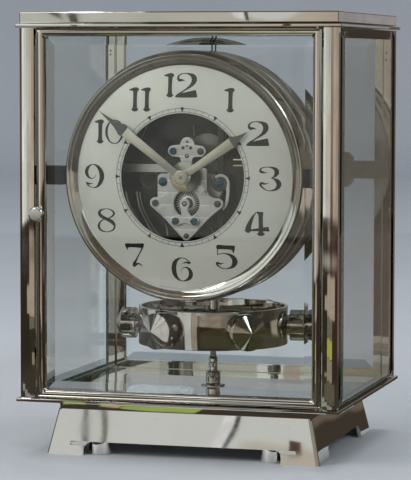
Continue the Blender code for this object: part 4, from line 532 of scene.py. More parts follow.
# Numerals: width, strokes of (x, y, half width) and outlines of (x, y), in thousandths of the height
ONE_OUTLINE_SHARES = (
    (0, 905), (100, 950), (200, 985), (300, 1000), (380, 985), (430, 945), (440, 900), (420, 860),
    (385, 830), (375, 780), (367, 650), (365, 500), (370, 300), (380, 170), (400, 130), (440, 100),
    (435, 65), (390, 40), (360, 10), (280, 0), (210, 10), (180, 40), (135, 65), (130, 100), (165, 130),
    (185, 170), (195, 300), (195, 500), (190, 700), (185, 800), (170, 845), (120, 855), (60, 865), (20, 885),
)
GLYPH_SHARES = {
    "0": (800, [
        [(400, 985, 18), (200, 910, 30), (60, 680, 50), (40, 500, 55), (60, 320, 50), (200, 90, 30),
         (400, 15, 18), (600, 90, 30), (740, 320, 50), (760, 500, 55), (740, 680, 50), (600, 910, 30),
         (400, 985, 18)],
    ], []),
    "1": (440, [], [ONE_OUTLINE_SHARES]),
    "2": (860, [
        [(365, 645, 6), (310, 700, 20), (220, 710, 45), (120, 710, 62), (55, 790, 48), (85, 890, 34),
         (190, 960, 22), (360, 985, 18), (560, 950, 50), (700, 860, 100), (750, 740, 112), (710, 600, 95),
         (600, 470, 60), (420, 340, 36), (250, 230, 30), (100, 120, 50)],
    ], [[(0, 0), (840, 0), (860, 50), (860, 200), (830, 310), (790, 210), (730, 165),
         (550, 150), (300, 150), (120, 150), (30, 130), (0, 70)]]),
    "3": (930, [
        [(360, 745, 6), (250, 760, 25), (140, 775, 50), (60, 820, 50), (75, 900, 32), (190, 965, 20),
         (380, 985, 16), (580, 950, 45), (700, 870, 85), (730, 760, 95), (680, 650, 65), (600, 575, 30),
         (500, 545, 8)],
        [(500, 545, 8), (620, 500, 35), (750, 420, 80), (820, 290, 100), (770, 150, 80), (650, 60, 45),
         (450, 15, 18), (280, 60, 20), (140, 160, 35), (60, 270, 48), (120, 325, 50), (220, 300, 36),
         (330, 310, 18), (420, 335, 6)],
    ], []),
    "4": (970, [
        [(470, 985, 12), (390, 880, 30), (290, 720, 60), (190, 500, 90), (135, 340, 112), (120, 240, 120)],
    ], [
        [(460, 985), (520, 1000), (680, 985), (760, 975), (760, 920), (740, 860), (735, 700), (735, 400),
         (740, 170), (770, 120), (810, 100), (800, 60), (760, 35), (720, 5), (640, 0), (570, 5), (530, 35),
         (490, 60), (480, 100), (520, 120), (550, 170), (555, 400), (555, 800), (530, 900)],
        [(0, 195), (500, 198), (960, 190), (980, 220), (965, 300), (950, 385), (910, 280), (840, 228),
         (500, 232), (0, 235)],
    ]),
    "5": (940, [
        [(100, 850, 18), (95, 700, 16), (95, 600, 16)],
        [(85, 600, 15), (220, 640, 15), (420, 650, 20), (620, 590, 52), (760, 470, 90), (815, 320, 112),
         (760, 170, 88), (640, 70, 45), (440, 18, 18), (260, 35, 18), (120, 120, 30), (55, 225, 45),
         (100, 255, 42), (190, 220, 35), (300, 240, 15), (360, 255, 6)],
    ], [[(80, 1000), (450, 990), (800, 985), (840, 960), (825, 860), (775, 665), (720, 760),
         (660, 810), (300, 830), (80, 830)]]),
    "6": (920, [
        [(800, 810, 28), (760, 850, 20), (660, 930, 20), (460, 985, 16), (280, 920, 50), (150, 760, 90),
         (105, 520, 105), (150, 270, 85), (280, 90, 45), (460, 18, 18), (640, 60, 45), (780, 170, 80),
         (830, 330, 86), (780, 490, 62), (660, 585, 32), (530, 580, 15), (440, 500, 10), (400, 410, 6)],
        [(480, 735, 6), (570, 790, 22), (680, 795, 38), (770, 780, 45), (840, 810, 14)],
    ], []),
    "7": (850, [
        [(800, 880, 35), (700, 680, 26), (580, 480, 26), (470, 280, 40), (400, 150, 75), (390, 75, 72)],
        [(360, 70, 60), (460, 110, 52), (560, 145, 36), (660, 115, 26), (750, 30, 8)],
    ], [[(0, 930), (50, 985), (400, 985), (800, 1000), (845, 950), (830, 870), (770, 805),
         (600, 815), (300, 825), (170, 815), (120, 770), (90, 690), (60, 780), (10, 870)]]),
    "8": (860, [
        [(280, 530, 20), (500, 585, 20), (700, 690, 36), (770, 810, 45), (650, 940, 25), (410, 985, 15),
         (180, 920, 40), (100, 810, 65), (170, 690, 75), (350, 590, 65), (550, 510, 75), (710, 410, 75),
         (790, 270, 45), (700, 100, 32), (420, 18, 16), (150, 90, 40), (65, 250, 55), (130, 420, 36),
         (280, 530, 20)],
    ], []),
    "9": (900, [
        [(510, 560, 6), (460, 460, 12), (360, 400, 16), (240, 420, 30), (130, 520, 60), (85, 680, 80),
         (135, 830, 65), (250, 940, 32), (380, 985, 16), (540, 940, 42), (690, 800, 80), (780, 600, 105),
         (780, 400, 100), (700, 210, 80), (580, 70, 42), (420, 18, 18), (270, 45, 18), (130, 130, 30)],
        [(60, 240, 12), (120, 190, 50), (220, 180, 32), (320, 190, 16), (390, 215, 6)],
    ], []),
}
NUMERAL_HEIGHT = 13.5
NUMERAL_GAP_SHARES = {"10": 0.09, "11": 0.085, "12": 0.12}
NUMERAL_CENTRES = (
    (26.5, 43.0), (43.1, 24.7), (50.2, -0.2), (42.7, -25.1), (25.3, -44.0), (-0.4, -51.5), (-28.1, -44.1),
    (-44.7, -24.9), (-51.9, -0.1), (-43.4, 25.0), (-25.2, 43.1), (-1.7, 51.1),
)
PRINT_PROUD, PRINT_THICKNESS = 0.05, 0.09
THINNEST_SHARE, ROUND_END_SHARE = 0.004, 0.012
TRACK_LINES = ((36.25, 36.5), (38.2, 38.45))
MINUTE_TICK = ((-0.09, 36.45), (-0.09, 38.25), (0.09, 38.25), (0.09, 36.45))
HOUR_TICK = ((-0.1, 36.4), (-1.15, 38.9), (1.15, 38.9), (0.1, 36.4))


def smooth_points(points, steps, closed=False):
    """Return points along a smooth line through the given ones."""
    count = len(points)
    line = []
    spans = count if closed else count - 1
    for index in range(spans):
        around = []
        for offset in (-1, 0, 1, 2):
            place = index + offset
            place = place % count if closed else min(max(place, 0), count - 1)
            around.append(Vector(points[place]))
        first, second, third, fourth = around
        for step in range(steps):
            s = step / steps
            line.append(0.5 * (
                2 * second + (third - first) * s + (2 * first - 5 * second + 4 * third - fourth) * s * s
                + (3 * second - first - 3 * third + fourth) * s ** 3))
    if not closed:
        line.append(Vector(points[-1]))
    return line


def print_point(x, z):
    """Return a point just proud of the dial's face, x and z from its centre."""
    return spot(DIAL_X + x, dial_depth(math.hypot(x, z)) - PRINT_PROUD, DIAL_Z + z)


def print_face(shape, points):
    """Lay a face through these points on the dial."""
    shape.faces.new([shape.verts.new(print_point(x, z)) for x, z in points])


def figure_vertex(shape, origin, x, y):
    """Add a vertex of a figure, placed in shares of the numeral's height from its lower left corner."""
    return shape.verts.new(print_point(origin[0] + x * NUMERAL_HEIGHT, origin[1] + y * NUMERAL_HEIGHT))


def print_stroke(shape, points, origin):
    """Lay one stroke of changing width on the dial."""
    line = smooth_points(points, 6)
    rows = []
    for index, point in enumerate(line):
        before, after = line[max(index - 1, 0)], line[min(index + 1, len(line) - 1)]
        along = Vector((after.x - before.x, after.y - before.y))
        along = along.normalized() if along.length > 0 else Vector((1, 0))
        side = Vector((-along.y, along.x)) * max(point.z, THINNEST_SHARE)
        rows.append([
            figure_vertex(shape, origin, point.x + end * side.x, point.y + end * side.y) for end in (-1, 1)])
    for first, second in zip(rows, rows[1:]):
        shape.faces.new((first[0], second[0], second[1], first[1]))
    for point in (line[0], line[-1]):
        if point.z >= ROUND_END_SHARE:
            end = circle(point.x, point.y, point.z, 12)
            shape.faces.new([figure_vertex(shape, origin, x, y) for x, y in end])


def print_outline(shape, points, origin):
    """Lay one filled outline on the dial."""
    flat = bmesh.new()
    line = smooth_points([(x, y, 0) for x, y in points], 3, True)
    face = flat.faces.new([flat.verts.new(point) for point in line])
    bmesh.ops.triangulate(flat, faces=[face], ngon_method="EAR_CLIP")
    bmesh.ops.subdivide_edges(flat, edges=flat.edges[:], cuts=2, use_grid_fill=True)
    laid = {vertex: figure_vertex(shape, origin, vertex.co.x, vertex.co.y) for vertex in flat.verts}
    for face in flat.faces:
        shape.faces.new([laid[vertex] for vertex in face.verts])
    flat.free()


def finish_print(name, shape):
    """Turn laid print into a thin closed layer of ink on the dial."""
    mesh = bpy.data.meshes.new(name)
    for face in shape.faces:
        face.normal_update()
        if face.normal.y > 0:
            face.normal_flip()
    shape.to_mesh(mesh)
    shape.free()
    mesh.materials.append(INK)
    thing = link_object(name, mesh)
    layer = thing.modifiers.new("layer", "SOLIDIFY")
    layer.thickness = PRINT_THICKNESS * MM
    layer.offset = -1
    return ridden(thing, "case")


def as_shares(points):
    """Return points given in thousandths as shares."""
    return [tuple(value / 1000 for value in point) for point in points]


def swung(points, turn):
    """Turn points of (across, along) from twelve o'clock, clockwise."""
    cosine, sine = math.cos(turn), math.sin(turn)
    return [(across * cosine + along * sine, along * cosine - across * sine) for across, along in points]


def make_numerals():
    """Print the numerals and the minute track on the dial."""
    for hour in range(1, 13):
        shape = bmesh.new()
        figures = str(hour)
        widths = [GLYPH_SHARES[figure][0] / 1000 for figure in figures]
        gap = NUMERAL_GAP_SHARES.get(figures, 0.0)
        total = (sum(widths) + gap * (len(figures) - 1)) * NUMERAL_HEIGHT
        centre = NUMERAL_CENTRES[hour - 1]
        x = centre[0] - total / 2
        z = centre[1] - NUMERAL_HEIGHT / 2
        for figure, width in zip(figures, widths):
            _, strokes, outlines = GLYPH_SHARES[figure]
            for stroke in strokes:
                print_stroke(shape, as_shares(stroke), (x, z))
            for outline in outlines:
                print_outline(shape, as_shares(outline), (x, z))
            x += (width + gap) * NUMERAL_HEIGHT
        finish_print("numeral_%d" % hour, shape)
    shape = bmesh.new()
    for radii in TRACK_LINES:
        loops = [
            [shape.verts.new(print_point(x, z)) for x, z in circle(0, 0, radius, 180)] for radius in radii]
        join_loops(shape, loops, False)
    for minute in range(60):
        tick = MINUTE_TICK if minute % 5 else HOUR_TICK
        print_face(shape, swung(tick, math.radians(6 * minute)))
    finish_print("minute_track", shape)


# Hands: kind, turn in degrees, front, half width at the root, length and half width of the bar,
# half width of the point, length to the tip, and radius of the boss
HANDS = (
    ("minute", 307.5, 10.3, 1.8, 41.2, 2.8, 3.55, 60.0, 4.0),
    ("hour", 55.8, 11.8, 1.65, 34.6, 2.95, 3.65, 45.6, 3.5),
)
POINT_SHARES = (
    (0.05, 1.0), (0.12, 0.97), (0.22, 0.72), (0.35, 0.5), (0.5, 0.34), (0.7, 0.19), (0.88, 0.08),
)
HAND_THICKNESS = 0.6


def hand_piece(name, outline, turn, front, finish, edge):
    """Make a plate lying along a hand, its outline as (across, along)."""
    loop = swung(outline, math.radians(turn))
    return plated(name, [loop], front, front + HAND_THICKNESS, finish, edge=edge, sharp=12.0)


def make_hands():
    """Make both hands: silvered bars with bosses, and dark pointed ends."""
    for kind, turn, front, root, bar_end, width, nib, tip, boss in HANDS:
        back = front + HAND_THICKNESS
        outline = [(-root, 0.5), (root, 0.5), (width, bar_end), (-width, bar_end)]
        parts = [hand_piece(kind + "_bar_part", outline, turn, front, HAND_SILVER, 0.12)]
        parts.append(lathed(
            kind + "_boss_part",
            [(0, front - 0.35), (boss - 0.6, front - 0.35, 0.3), (boss, front - 0.05, 0.15), (boss, back),
             (1.1, back), (0, back)],
            DIAL_BASE, HAND_SILVER, 64, closed=False))
        if kind == "minute":
            parts.append(lathed(
                "pin_part",
                [(0, front - 1.0), (0.55, front - 1.0, 0.2), (0.75, front - 0.6, 0.1), (1.0, front - 0.3),
                 (1.0, front), (0, front)],
                DIAL_BASE, STEEL, 32, closed=False))
        ridden(merged(kind + "_hand_bar", parts), kind, (kind + "_hand",))
        halves = [(0.0, width + 0.05)] + [(share, nib * part) for share, part in POINT_SHARES] + [(1.0, 0.05)]
        sides = [(half, bar_end + 0.02 + share * (tip - bar_end)) for share, half in halves]
        outline = sides + [(-half, along) for half, along in reversed(sides)]
        ridden(hand_piece(kind + "_hand_tip", outline, turn, front, HAND_DARK, 0.04), kind)


BRIDGE_OUTLINE = (
    arc(0.5, 18.0, 4.2, 180, 0) + arc(8.2, 14.3, 3.2, 90, -90)
    + [(4.6, 10.9), (3.7, 10.2), (3.4, 9.0), (3.4, 6.2), (3.8, 5.3), (4.7, 4.9), (10.6, 4.9)]
    + arc(10.6, 3.7, 1.2, 90, 0)
    + [(11.8, -6.4), (12.0, -7.9), (12.7, -9.5), (14.0, -10.8), (15.8, -11.6)] + arc(18.1, -15.0, 3.3, 105,
                                                                                     -48)
    + [(16.2, -20.7), (12.4, -24.2)] + arc(0.0, -33.1, 2.8, -42, -138) + [(-12.4, -24.2), (-16.2, -20.7)]
    + arc(-18.1, -15.0, 3.3, 228, 75)
    + [(-15.8, -11.6), (-14.0, -10.8), (-12.7, -9.6), (-11.5, -8.8), (-11.2, -8.2)] + arc(-9.9, 1.2, 1.3,
                                                                                          180, 90)
    + [(-5.4, 2.7), (-4.3, 3.3), (-3.6, 4.6), (-3.4, 6.2), (-3.4, 9.0), (-3.7, 10.2), (-4.6, 10.9)]
    + arc(-7.7, 14.3, 3.2, 270, 90)
)
COCK_OUTLINE = (
    arc(-5.9, -24.9, 2.9, 90, 270)
    + [(-4.0, -27.3), (-2.2, -26.4), (-0.4, -26.1), (1.4, -26.4), (3.2, -27.2)] + arc(5.0, -24.9, 2.8, -90,
                                                                                      90)
    + [(3.4, -21.8), (2.3, -21.0), (1.6, -19.6), (1.3, -17.8)] + arc(-0.6, -15.1, 2.9, -35, 185)
    + [(-3.2, -17.2), (-2.7, -18.8), (-2.5, -20.6), (-2.8, -21.5), (-3.8, -21.95)]
)
SHOULDER_OUTLINE = (
    [(-11.3, -12.5), (-17.2, -12.5), (-17.2, -1.2)] + arc(-14.5, -1.2, 2.7, 180, 90, 6) + [(-11.3, 1.5)]
)
HOOK_OUTLINE = (
    arc(19.4, -3.4, 5.1, 140, 0, 14) + [(24.5, -9.1), (24.0, -13.5), (22.8, -17.0), (20.8, -18.8),
                                        (19.2, -16.8)]
    + [(21.2, -15.4), (22.0, -12.5), (22.3, -9.0), (22.4, -6.0)] + arc(19.4, -3.4, 3.4, -10, 140, 14)
)
BRIDGE_FRONT, BRIDGE_BACK = 21.5, 24.0
COCK_FRONT, SHOULDER_FRONT, HOOK_FRONT = 19.9, 22.6, 24.1
SCREW_PROUD = 0.7
SCREW_SLOT_SHARE = 0.16


def dial_base(x, z):
    """Return the base of a turning that lies this far from the dial's centre."""
    return (DIAL_X + x, 0, DIAL_Z + z)


def screw(name, x, z, radius, front, finish, turn):
    """Make a slotted screw head that stands on a plate's face, its slot turned by radians."""
    middle = front - SCREW_PROUD * 0.45
    parts = [plated(name + "_foot", [circle(x, z, radius, 28)], middle, front, finish, edge=0.02)]
    turn, limit = math.degrees(turn), math.degrees(math.asin(SCREW_SLOT_SHARE))
    for side in (-1, 1):
        half = arc(x, z, radius, turn + side * limit, turn + side * (180 - limit), 14)
        parts.append(plated(
            name + "_half%d" % side, [half], front - SCREW_PROUD, front - SCREW_PROUD * 0.4, finish,
            edge=0.1))
    return parts


def make_bridge():
    """Make the front bridge with its cock, shoulder and side hook."""
    for name, loops, front, back, finish, edge, replaced in (
        ("bridge_plate", [BRIDGE_OUTLINE, circle(0.1, -15.1, 7.5, 48), circle(0, 0, 2.4)],
         BRIDGE_FRONT, BRIDGE_BACK, STRIPED_PAINTED_SHEEN, 0.35, ("movement_bridge",)),
        ("cock_plate", [COCK_OUTLINE], COCK_FRONT, 21.2, STRIPED_PAINTED_SHEEN, 0.3, ("escape_cock",)),
        ("shoulder_plate", [SHOULDER_OUTLINE], SHOULDER_FRONT, BRIDGE_BACK, STRIPED_PAINTED_SHEEN, 0.3, ()),
        ("side_hook", [HOOK_OUTLINE], HOOK_FRONT, 25.3, GRAINED, 0.3, ()),
    ):
        plate = plated(name, loops, front, back, finish, edge=edge, sharp=12.0, rounds=2)
        ridden(plate, "case", replaced)
    seat = lathed(
        "hook_seat", [(0, 24.75), (4.6, 24.75, 0.2), (5.0, 25.1, 0.1), (5.0, 27.0), (0, 27.0)],
        dial_base(18.4, -3.3), DARK_STEEL, 48, closed=False)
    ridden(seat, "case")


def make_bridge_screws():
    """Make the bridge's blued and dark screws, each x, z, radius, front and turn of the slot."""
    for kind, finish, places in (
        ("blued", BLUED, (
            (-7.7, 14.3, 2.0, BRIDGE_FRONT, 0.4), (-14.0, -3.0, 2.5, SHOULDER_FRONT, 1.9),
            (-5.9, -24.9, 2.1, COCK_FRONT, 2.6), (5.0, -24.9, 2.1, COCK_FRONT, 0.5),
            (18.4, -3.3, 2.3, 24.7, 0.1))),
        ("dark", DARK_STEEL, (
            (8.2, 14.3, 1.9, BRIDGE_FRONT, 1.2), (-18.1, -15.0, 1.9, BRIDGE_FRONT, 0.9),
            (18.1, -15.0, 1.9, BRIDGE_FRONT, 2.2), (0.0, -33.1, 1.5, BRIDGE_FRONT, 0.2))),
    ):
        parts = []
        for x, z, radius, front, turn in places:
            parts += screw("%s_%d" % (kind, len(parts)), x, z, radius, front, finish, turn)
        ridden(merged(kind + "_screws", parts), "case")


def make_pivots():
    """Make the bridge's dark sinks, with bright pivots in the larger ones."""
    sinks, pivots = [], []
    for x, z, radius, front in (
        (0.5, 19.6, 0.75, BRIDGE_FRONT), (-1.9, 16.1, 0.95, BRIDGE_FRONT), (2.5, 16.1, 0.95, BRIDGE_FRONT),
        (0.4, 17.2, 0.6, BRIDGE_FRONT), (0.3, 11.6, 1.25, BRIDGE_FRONT), (-0.6, -15.1, 1.5, COCK_FRONT),
    ):
        sinks.append(lathed(
            "sink_%d" % len(sinks),
            [(0, front - 0.03), (radius * 0.7, front - 0.04), (radius * 0.82, front - 0.16, 0.05),
             (radius, front - 0.14, 0.05), (radius, front), (0, front)],
            dial_base(x, z), DARK_STEEL, 24, closed=False))
        if radius > 1:
            pivots.append(lathed(
                "pivot_%d" % len(pivots),
                [(0, front - 0.3), (radius * 0.3, front - 0.26, 0.1), (radius * 0.45, front - 0.1),
                 (radius * 0.45, front), (0, front)],
                dial_base(x, z), SATIN, 20, closed=False))
    ridden(merged("bridge_sinks", sinks), "case")
    ridden(merged("bridge_pivots", pivots), "case")


def toothed(x, z, radius, root, count, share):
    """Return the outline of a wheel with narrow pointed teeth."""
    points = []
    pitch = 2 * math.pi / count
    low, high = (1 - share) * 0.5, (1 + share) * 0.5
    for index in range(count):
        for offset, reach in (
            (0.0, root), (low, root), (low + share * 0.3, radius), (low + share * 0.7, radius), (high, root),
        ):
            angle = pitch * (index + offset)
            points.append((x + reach * math.cos(angle), z + reach * math.sin(angle)))
    return points


ESCAPE_DROP = -15.0


def make_wheels():
    """Make the wheels that show in the dial's opening, with their fine teeth."""
    base = dial_base(0, ESCAPE_DROP)
    # The comb's lightened steel paints glints on its teeth.
    comb = plated(
        "comb_part", [toothed(0, ESCAPE_DROP, 6.9, 4.0, 30, 0.5), circle(0, ESCAPE_DROP, 2.6)], 24.6, 25.2,
        GLINT_STEEL, edge=0.06)
    rim = lathed(
        "comb_rim_part", [(1.0, 24.9), (1.0, 24.5), (2.8, 24.5, 0.1), (3.4, 24.75), (3.4, 24.9)], base,
        STEEL, 48)
    arbor = lathed(
        "comb_arbor_part",
        [(0, 19.95), (0.35, 19.95), (0.4, 21.9), (0.95, 22.2, 0.2), (0.95, 33.0), (0.45, 33.2),
         (0.4, 34.6), (0, 34.6)],
        base, STEEL, 24, closed=False)
    pinion = plated(
        "comb_pinion_part", [toothed(0, ESCAPE_DROP, 1.7, 1.15, 10, 0.6)], 26.4, 31.5, STEEL, edge=0.05)
    ridden(merged("escape_comb", [comb, rim, arbor, pinion]), "escape", ("escape_wheel",))
    # The hour disc carries a painted fan of highlight and shade.
    disc = plated(
        "hour_disc_part", [toothed(0, 0, 8.8, 8.2, 84, 0.8), circle(0, 0, 2.1)], 18.35, 18.95, FAN, edge=0.05)
    hub = lathed(
        "hour_hub_part",
        [(1.2, 12.8), (2.0, 12.8, 0.15), (2.0, 16.6, 0.2), (3.6, 17.6, 0.3), (3.8, 18.4), (3.8, 19.0),
         (1.2, 19.0)],
        DIAL_BASE, GLINT_STEEL, 40)
    ridden(merged("hour_disc", [disc, hub]), "hour", ("hour_wheel",))
    # A brass sector over the hour disc: the wheel's own brass, laid only over the part that catches the
    # light, as painted light.
    loop = arc(0, 0, 8.1, 158, 284, 30) + arc(0, 0, 4.2, 284, 158, 20)
    ridden(plated("hour_lit_sector", [loop], 17.95, 18.3, LIT_SECTOR_BRASS, edge=0.08), "hour")


# Wires of the recess: depth, radius, and points (x, z) from the dial's centre. The two shallowest are bright
# gold bars that paint glints.
RECESS_WIRES = (
    (30.5, 0.75, ((-31.9, -9.4), (-30.3, -18.1), (-26.1, -26.4), (-22.6, -32.2), (-18.6, -36.0))),
    (30.5, 0.55, ((-30.2, -9.4), (-28.6, -17.6), (-24.4, -25.6), (-20.9, -31.2), (-17.1, -34.7))),
    (31.0, 0.7, ((-38.6, -9.4), (-37.0, -15.6), (-34.0, -21.3), (-30.0, -27.0))),
    (31.0, 0.7, ((-16.2, -25.2), (-14.4, -29.5), (-13.8, -33.8))),
    (30.0, 0.4, ((-23.9, 31.3), (-29.5, 19.8))), (30.0, 0.3, ((1.6, 28.6), (2.2, 22.4))),
    (30.5, 0.3, ((5.6, -32.8), (13.1, -25.1))), (30.5, 0.25, ((9.0, -25.1), (14.2, -32.6))),
    (30.0, 0.3, ((20.4, 30.0), (20.4, 12.0))), (31.5, 0.5, ((8.6, 26.0), (11.8, 25.7))),
    (27.5, 0.45, ((25.5, 9.6), (30.6, 9.7))), (27.5, 0.45, ((25.5, 6.3), (30.6, 6.4))),
)
# Wires in front of this depth take the bright gold that paints glints.
GLINT_DEPTH = 28.0


def block_outline(left, right, bottom, top, radius):
    """Return a rectangle with rounded corners."""
    return rounded([(left, bottom, radius), (right, bottom, radius), (right, top, radius),
                    (left, top, radius)])


def make_recess():
    """Make what shows deeper in the opening: wires with two gold bars that paint glints, a bar, a plate in
    painted shade and a brushed disc with a painted fan of highlight and shade.
    """
    wires = []
    for depth, radius, points in RECESS_WIRES:
        line = [(DIAL_X + x, depth, DIAL_Z + z) for x, z in points]
        wires.append(tubed("wire_%d" % len(wires), line, radius, GLINT_GOLD if depth < GLINT_DEPTH else WIRE))
    ridden(merged("recess_wires", wires), "case")
    loop = block_outline(-40.0, -12.0, 1.7, 6.6, 0.8)
    bar = plated("recess_bar", [loop], 30.0, 31.2, GRAINED, edge=0.3, rounds=2, sharp=12.0)
    ridden(bar, "case")
    loop = block_outline(-40.0, -12.0, -9.0, 1.5, 0.5)
    # The recess plate takes the near black nickel of painted shade.
    plate = plated("recess_plate", [loop], 31.2, 32.4, SHADED_BACK_PLATE, edge=0.3, rounds=2, sharp=12.0)
    ring = lathed(
        "recess_ring_part", [(4.6, 30.9), (5.1, 30.9), (5.1, 31.4), (4.6, 31.4)], dial_base(-24.0, -2.5),
        DARK_STEEL, 48)
    ridden(merged("recess_plate_ring", [plate, ring]), "case")
    # The recess disc carries a darker painted fan of highlight and shade.
    loop = toothed(*FAN_CENTRE, 11.6, 10.9, 90, 0.8)
    ridden(plated("recess_disc", [loop], 32.2, 32.9, FAN_DARK, edge=0.05), "case")
    strip = brick(
        "recess_strip", (DIAL_X + 15.6, 31.0, DIAL_Z - 30.0), (DIAL_X + 18.6, 32.0, DIAL_Z + 31.0), BLACKED)
    ridden(strip, "case")


def make_small_screws():
    """Make the small dark screws of the rear posts and the rear rail."""
    dots = []
    for x, depth, z in (
        (-85.7, 146.5, 229.1), (-85.7, 146.5, 226.8), (84.6, 146.5, 227.8), (84.6, 146.5, 223.6),
        (-48.9, 147.9, 36.1), (48.9, 147.9, 36.1),
    ):
        dots.append(lathed(
            "dot_%d" % len(dots),
            [(0, depth - 0.25), (0.35, depth - 0.25, 0.1), (0.55, depth - 0.05, 0.05), (0.55, depth + 0.4),
             (0, depth + 0.4)],
            (x, 0, z), DARK_STEEL, 16, closed=False))
    ridden(merged("post_screws", dots), "case")


# Edges of a side pane: near, far, bottom and top
PANE_EDGES = (
    (8.7, 20.0, 33.6, 240.9), (20.1, 144.1, 238.6, 240.9), (20.1, 144.1, 33.6, 35.3),
    (144.2, 146.2, 33.6, 240.9),
)
PANE_FACE, PANE_EDGE_FACE = 88.0, 88.15


def make_pane_edges():
    """Make the green ground edges that the thick side panes show."""
    for name, side in (("left", -1), ("right", 1)):
        start, end = sorted((PANE_FACE * side, PANE_EDGE_FACE * side))
        parts = [
            brick("edge_part_%d" % number, (start, near, bottom), (end, far, top), GLASS_EDGE)
            for number, (near, far, bottom, top) in enumerate(PANE_EDGES)
        ]
        ridden(merged("pane_edges_%s" % name, parts), "case")


FIRST_SPOKE, FIRST_WEIGHT = -112.0, -22.0
SPOKE_LENGTH, SPOKE_WIDTH, SPOKE_HEIGHT = 36.8, 5.0, 3.0
SPOKE_MIDDLE, SPOKE_EASE = 23.0, 0.6
WEIGHT_RADIUS, SMALL_WEIGHT_RADIUS = 10.4, 9.0


def make_pendulum():
    """Make the ring, hub, stem and weights of the pendulum as smooth turnings."""
    base = (0, WIRE_DEPTH, 0)
    ring = lathed(
        "ring_band",
        [(43.5, 58.9, 0.35), (43.5, 80.9, 0.35), (41.7, 80.9, 0.3), (41.7, 58.9, 0.3)], base, STEEL, 160, "Z")
    ridden(ring, "pendulum", ("pendulum_ring",))
    parts = [lathed(
        "hub_part",
        [(0, 48.0), (1.2, 48.0, 0.3), (1.75, 48.8, 0.3), (1.75, 57.3, 0.2), (3.4, 57.7, 0.3),
         (5.0, 58.5, 0.6), (5.0, 72.6, 0.6), (4.2, 73.5, 0.4), (3.25, 73.9, 0.3), (3.25, 98.6, 0.4),
         (2.4, 99.4, 0.4), (1.4, 100.0), (0, 100.0)],
        base, STEEL, 48, "Z", closed=False)]
    middle = spot(0, WIRE_DEPTH, RING_MIDDLE)
    for index in range(3):
        turn = Matrix.Rotation(math.radians(FIRST_SPOKE + 120 * index), 3, "Z")
        shape = bmesh.new()
        bmesh.ops.create_cube(shape, size=1.0)
        size = Vector((SPOKE_LENGTH, SPOKE_WIDTH, SPOKE_HEIGHT)) * MM
        bmesh.ops.scale(shape, vec=size, verts=shape.verts)
        bmesh.ops.bevel(shape, geom=shape.edges[:], offset=SPOKE_EASE * MM, segments=3, affect="EDGES")
        for vertex in shape.verts:
            vertex.co = turn @ (vertex.co + Vector((SPOKE_MIDDLE * MM, 0, 0))) + middle
        parts.append(keep_shape("spoke_part_%d" % index, shape, STEEL))
    ridden(merged("pendulum_hub", parts), "pendulum", ("pendulum_spider",))
    for index in range(6):
        bearing = math.radians(FIRST_WEIGHT + 60 * index)
        radius = SMALL_WEIGHT_RADIUS if index in (2, 5) else WEIGHT_RADIUS
        turn = Matrix.Rotation(bearing, 3, "Z") @ Matrix.Rotation(math.pi / 2, 3, "X")
        weight = lathed(
            "ring_weight_%d" % (index + 1),
            [(0, 43.8), (6.0, 43.8), (6.0, 45.3), (radius - 0.3, 45.3, 0.15), (radius, 45.6, 0.15),
             (radius, 53.5, 0.12), (radius - 0.3, 53.8, 0.12), (0.3, 58.0 - 1.26 / (radius - 0.3)),
             (0, 58.0)],
            (0, WIRE_DEPTH, RING_MIDDLE), STEEL, 96, turn=turn, closed=False, sharp=16.0)
        ridden(weight, "pendulum", ("pendulum_weight_%d" % (index + 1),))


def make_pillar():
    """Make the floor pillar with its collet and the lock sleeve that slides on it."""
    base = (0, WIRE_DEPTH, 0)
    pillar = lathed(
        "pillar_turning",
        [(0, 33.3), (6.7, 33.3, 0.2), (7.0, 33.6, 0.2), (7.0, 34.5, 0.3), (6.6, 34.8, 0.2),
         (4.5, 34.8, 0.3), (4.2, 35.5, 0.3), (4.3, 36.6, 0.4), (4.3, 41.4, 0.5), (3.9, 42.6, 0.3),
         (2.75, 42.6, 0.1), (2.75, 35.0), (0, 35.0)],
        base, STEEL, 64, "Z", closed=False)
    ridden(pillar, "case", ("floor_pillar",))
    sleeve = lathed(
        "sleeve_turning",
        [(2.05, 35.4), (2.6, 35.4, 0.1), (2.6, 44.6, 0.1), (2.45, 44.8, 0.05), (2.45, 45.1, 0.05),
         (2.6, 45.3, 0.1), (2.6, 49.6, 0.3), (2.3, 50.9, 0.2), (2.05, 50.9, 0.05)],
        base, NICKEL, 48, "Z")
    ridden(sleeve, "lock", ("lock_sleeve",))


CORNER_STEPS, MOULDED_SHARP = 7, 32.0


def moulded(name, box, widths, section, radii, finish):
    """Sweep a section round a rectangle whose corners are rounder towards the inside.

    The box is left, right, bottom and top, the widths are those of stiles and rails, a
    section point is a share of the width from the outer edge and a depth, and the radii
    are those of the outer and the inner corners.
    """
    left, right, bottom, top = box
    shape = bmesh.new()
    loops = []
    for share, depth in section:
        inset_x, inset_z = widths[0] * share, widths[1] * share
        radius = radii[0] + (radii[1] - radii[0]) * share
        left_x, right_x = left + inset_x + radius, right - inset_x - radius
        low_z, high_z = bottom + inset_z + radius, top - inset_z - radius
        loop = []
        for x, z, start in (
            (right_x, high_z, 90), (right_x, low_z, 0), (left_x, low_z, -90), (left_x, high_z, -180),
        ):
            corner = arc(x, z, radius, start, start - 90, CORNER_STEPS)
            loop += [shape.verts.new(spot(across, depth, up)) for across, up in corner]
        loops.append(loop)
    join_loops(shape, loops)
    return keep_shape(name, shape, finish, MOULDED_SHARP)


FRAME_BOX, FRAME_WIDTHS, FRAME_RADII = (-82.2, 82.2, 33.3, 241.1), (5.3, 4.7), (0.35, 1.9)
HALF_ROUND_STEPS = 14
CASE_DEPTH = 155.0
KNOB_X, KNOB_Z = -79.55, 137.2


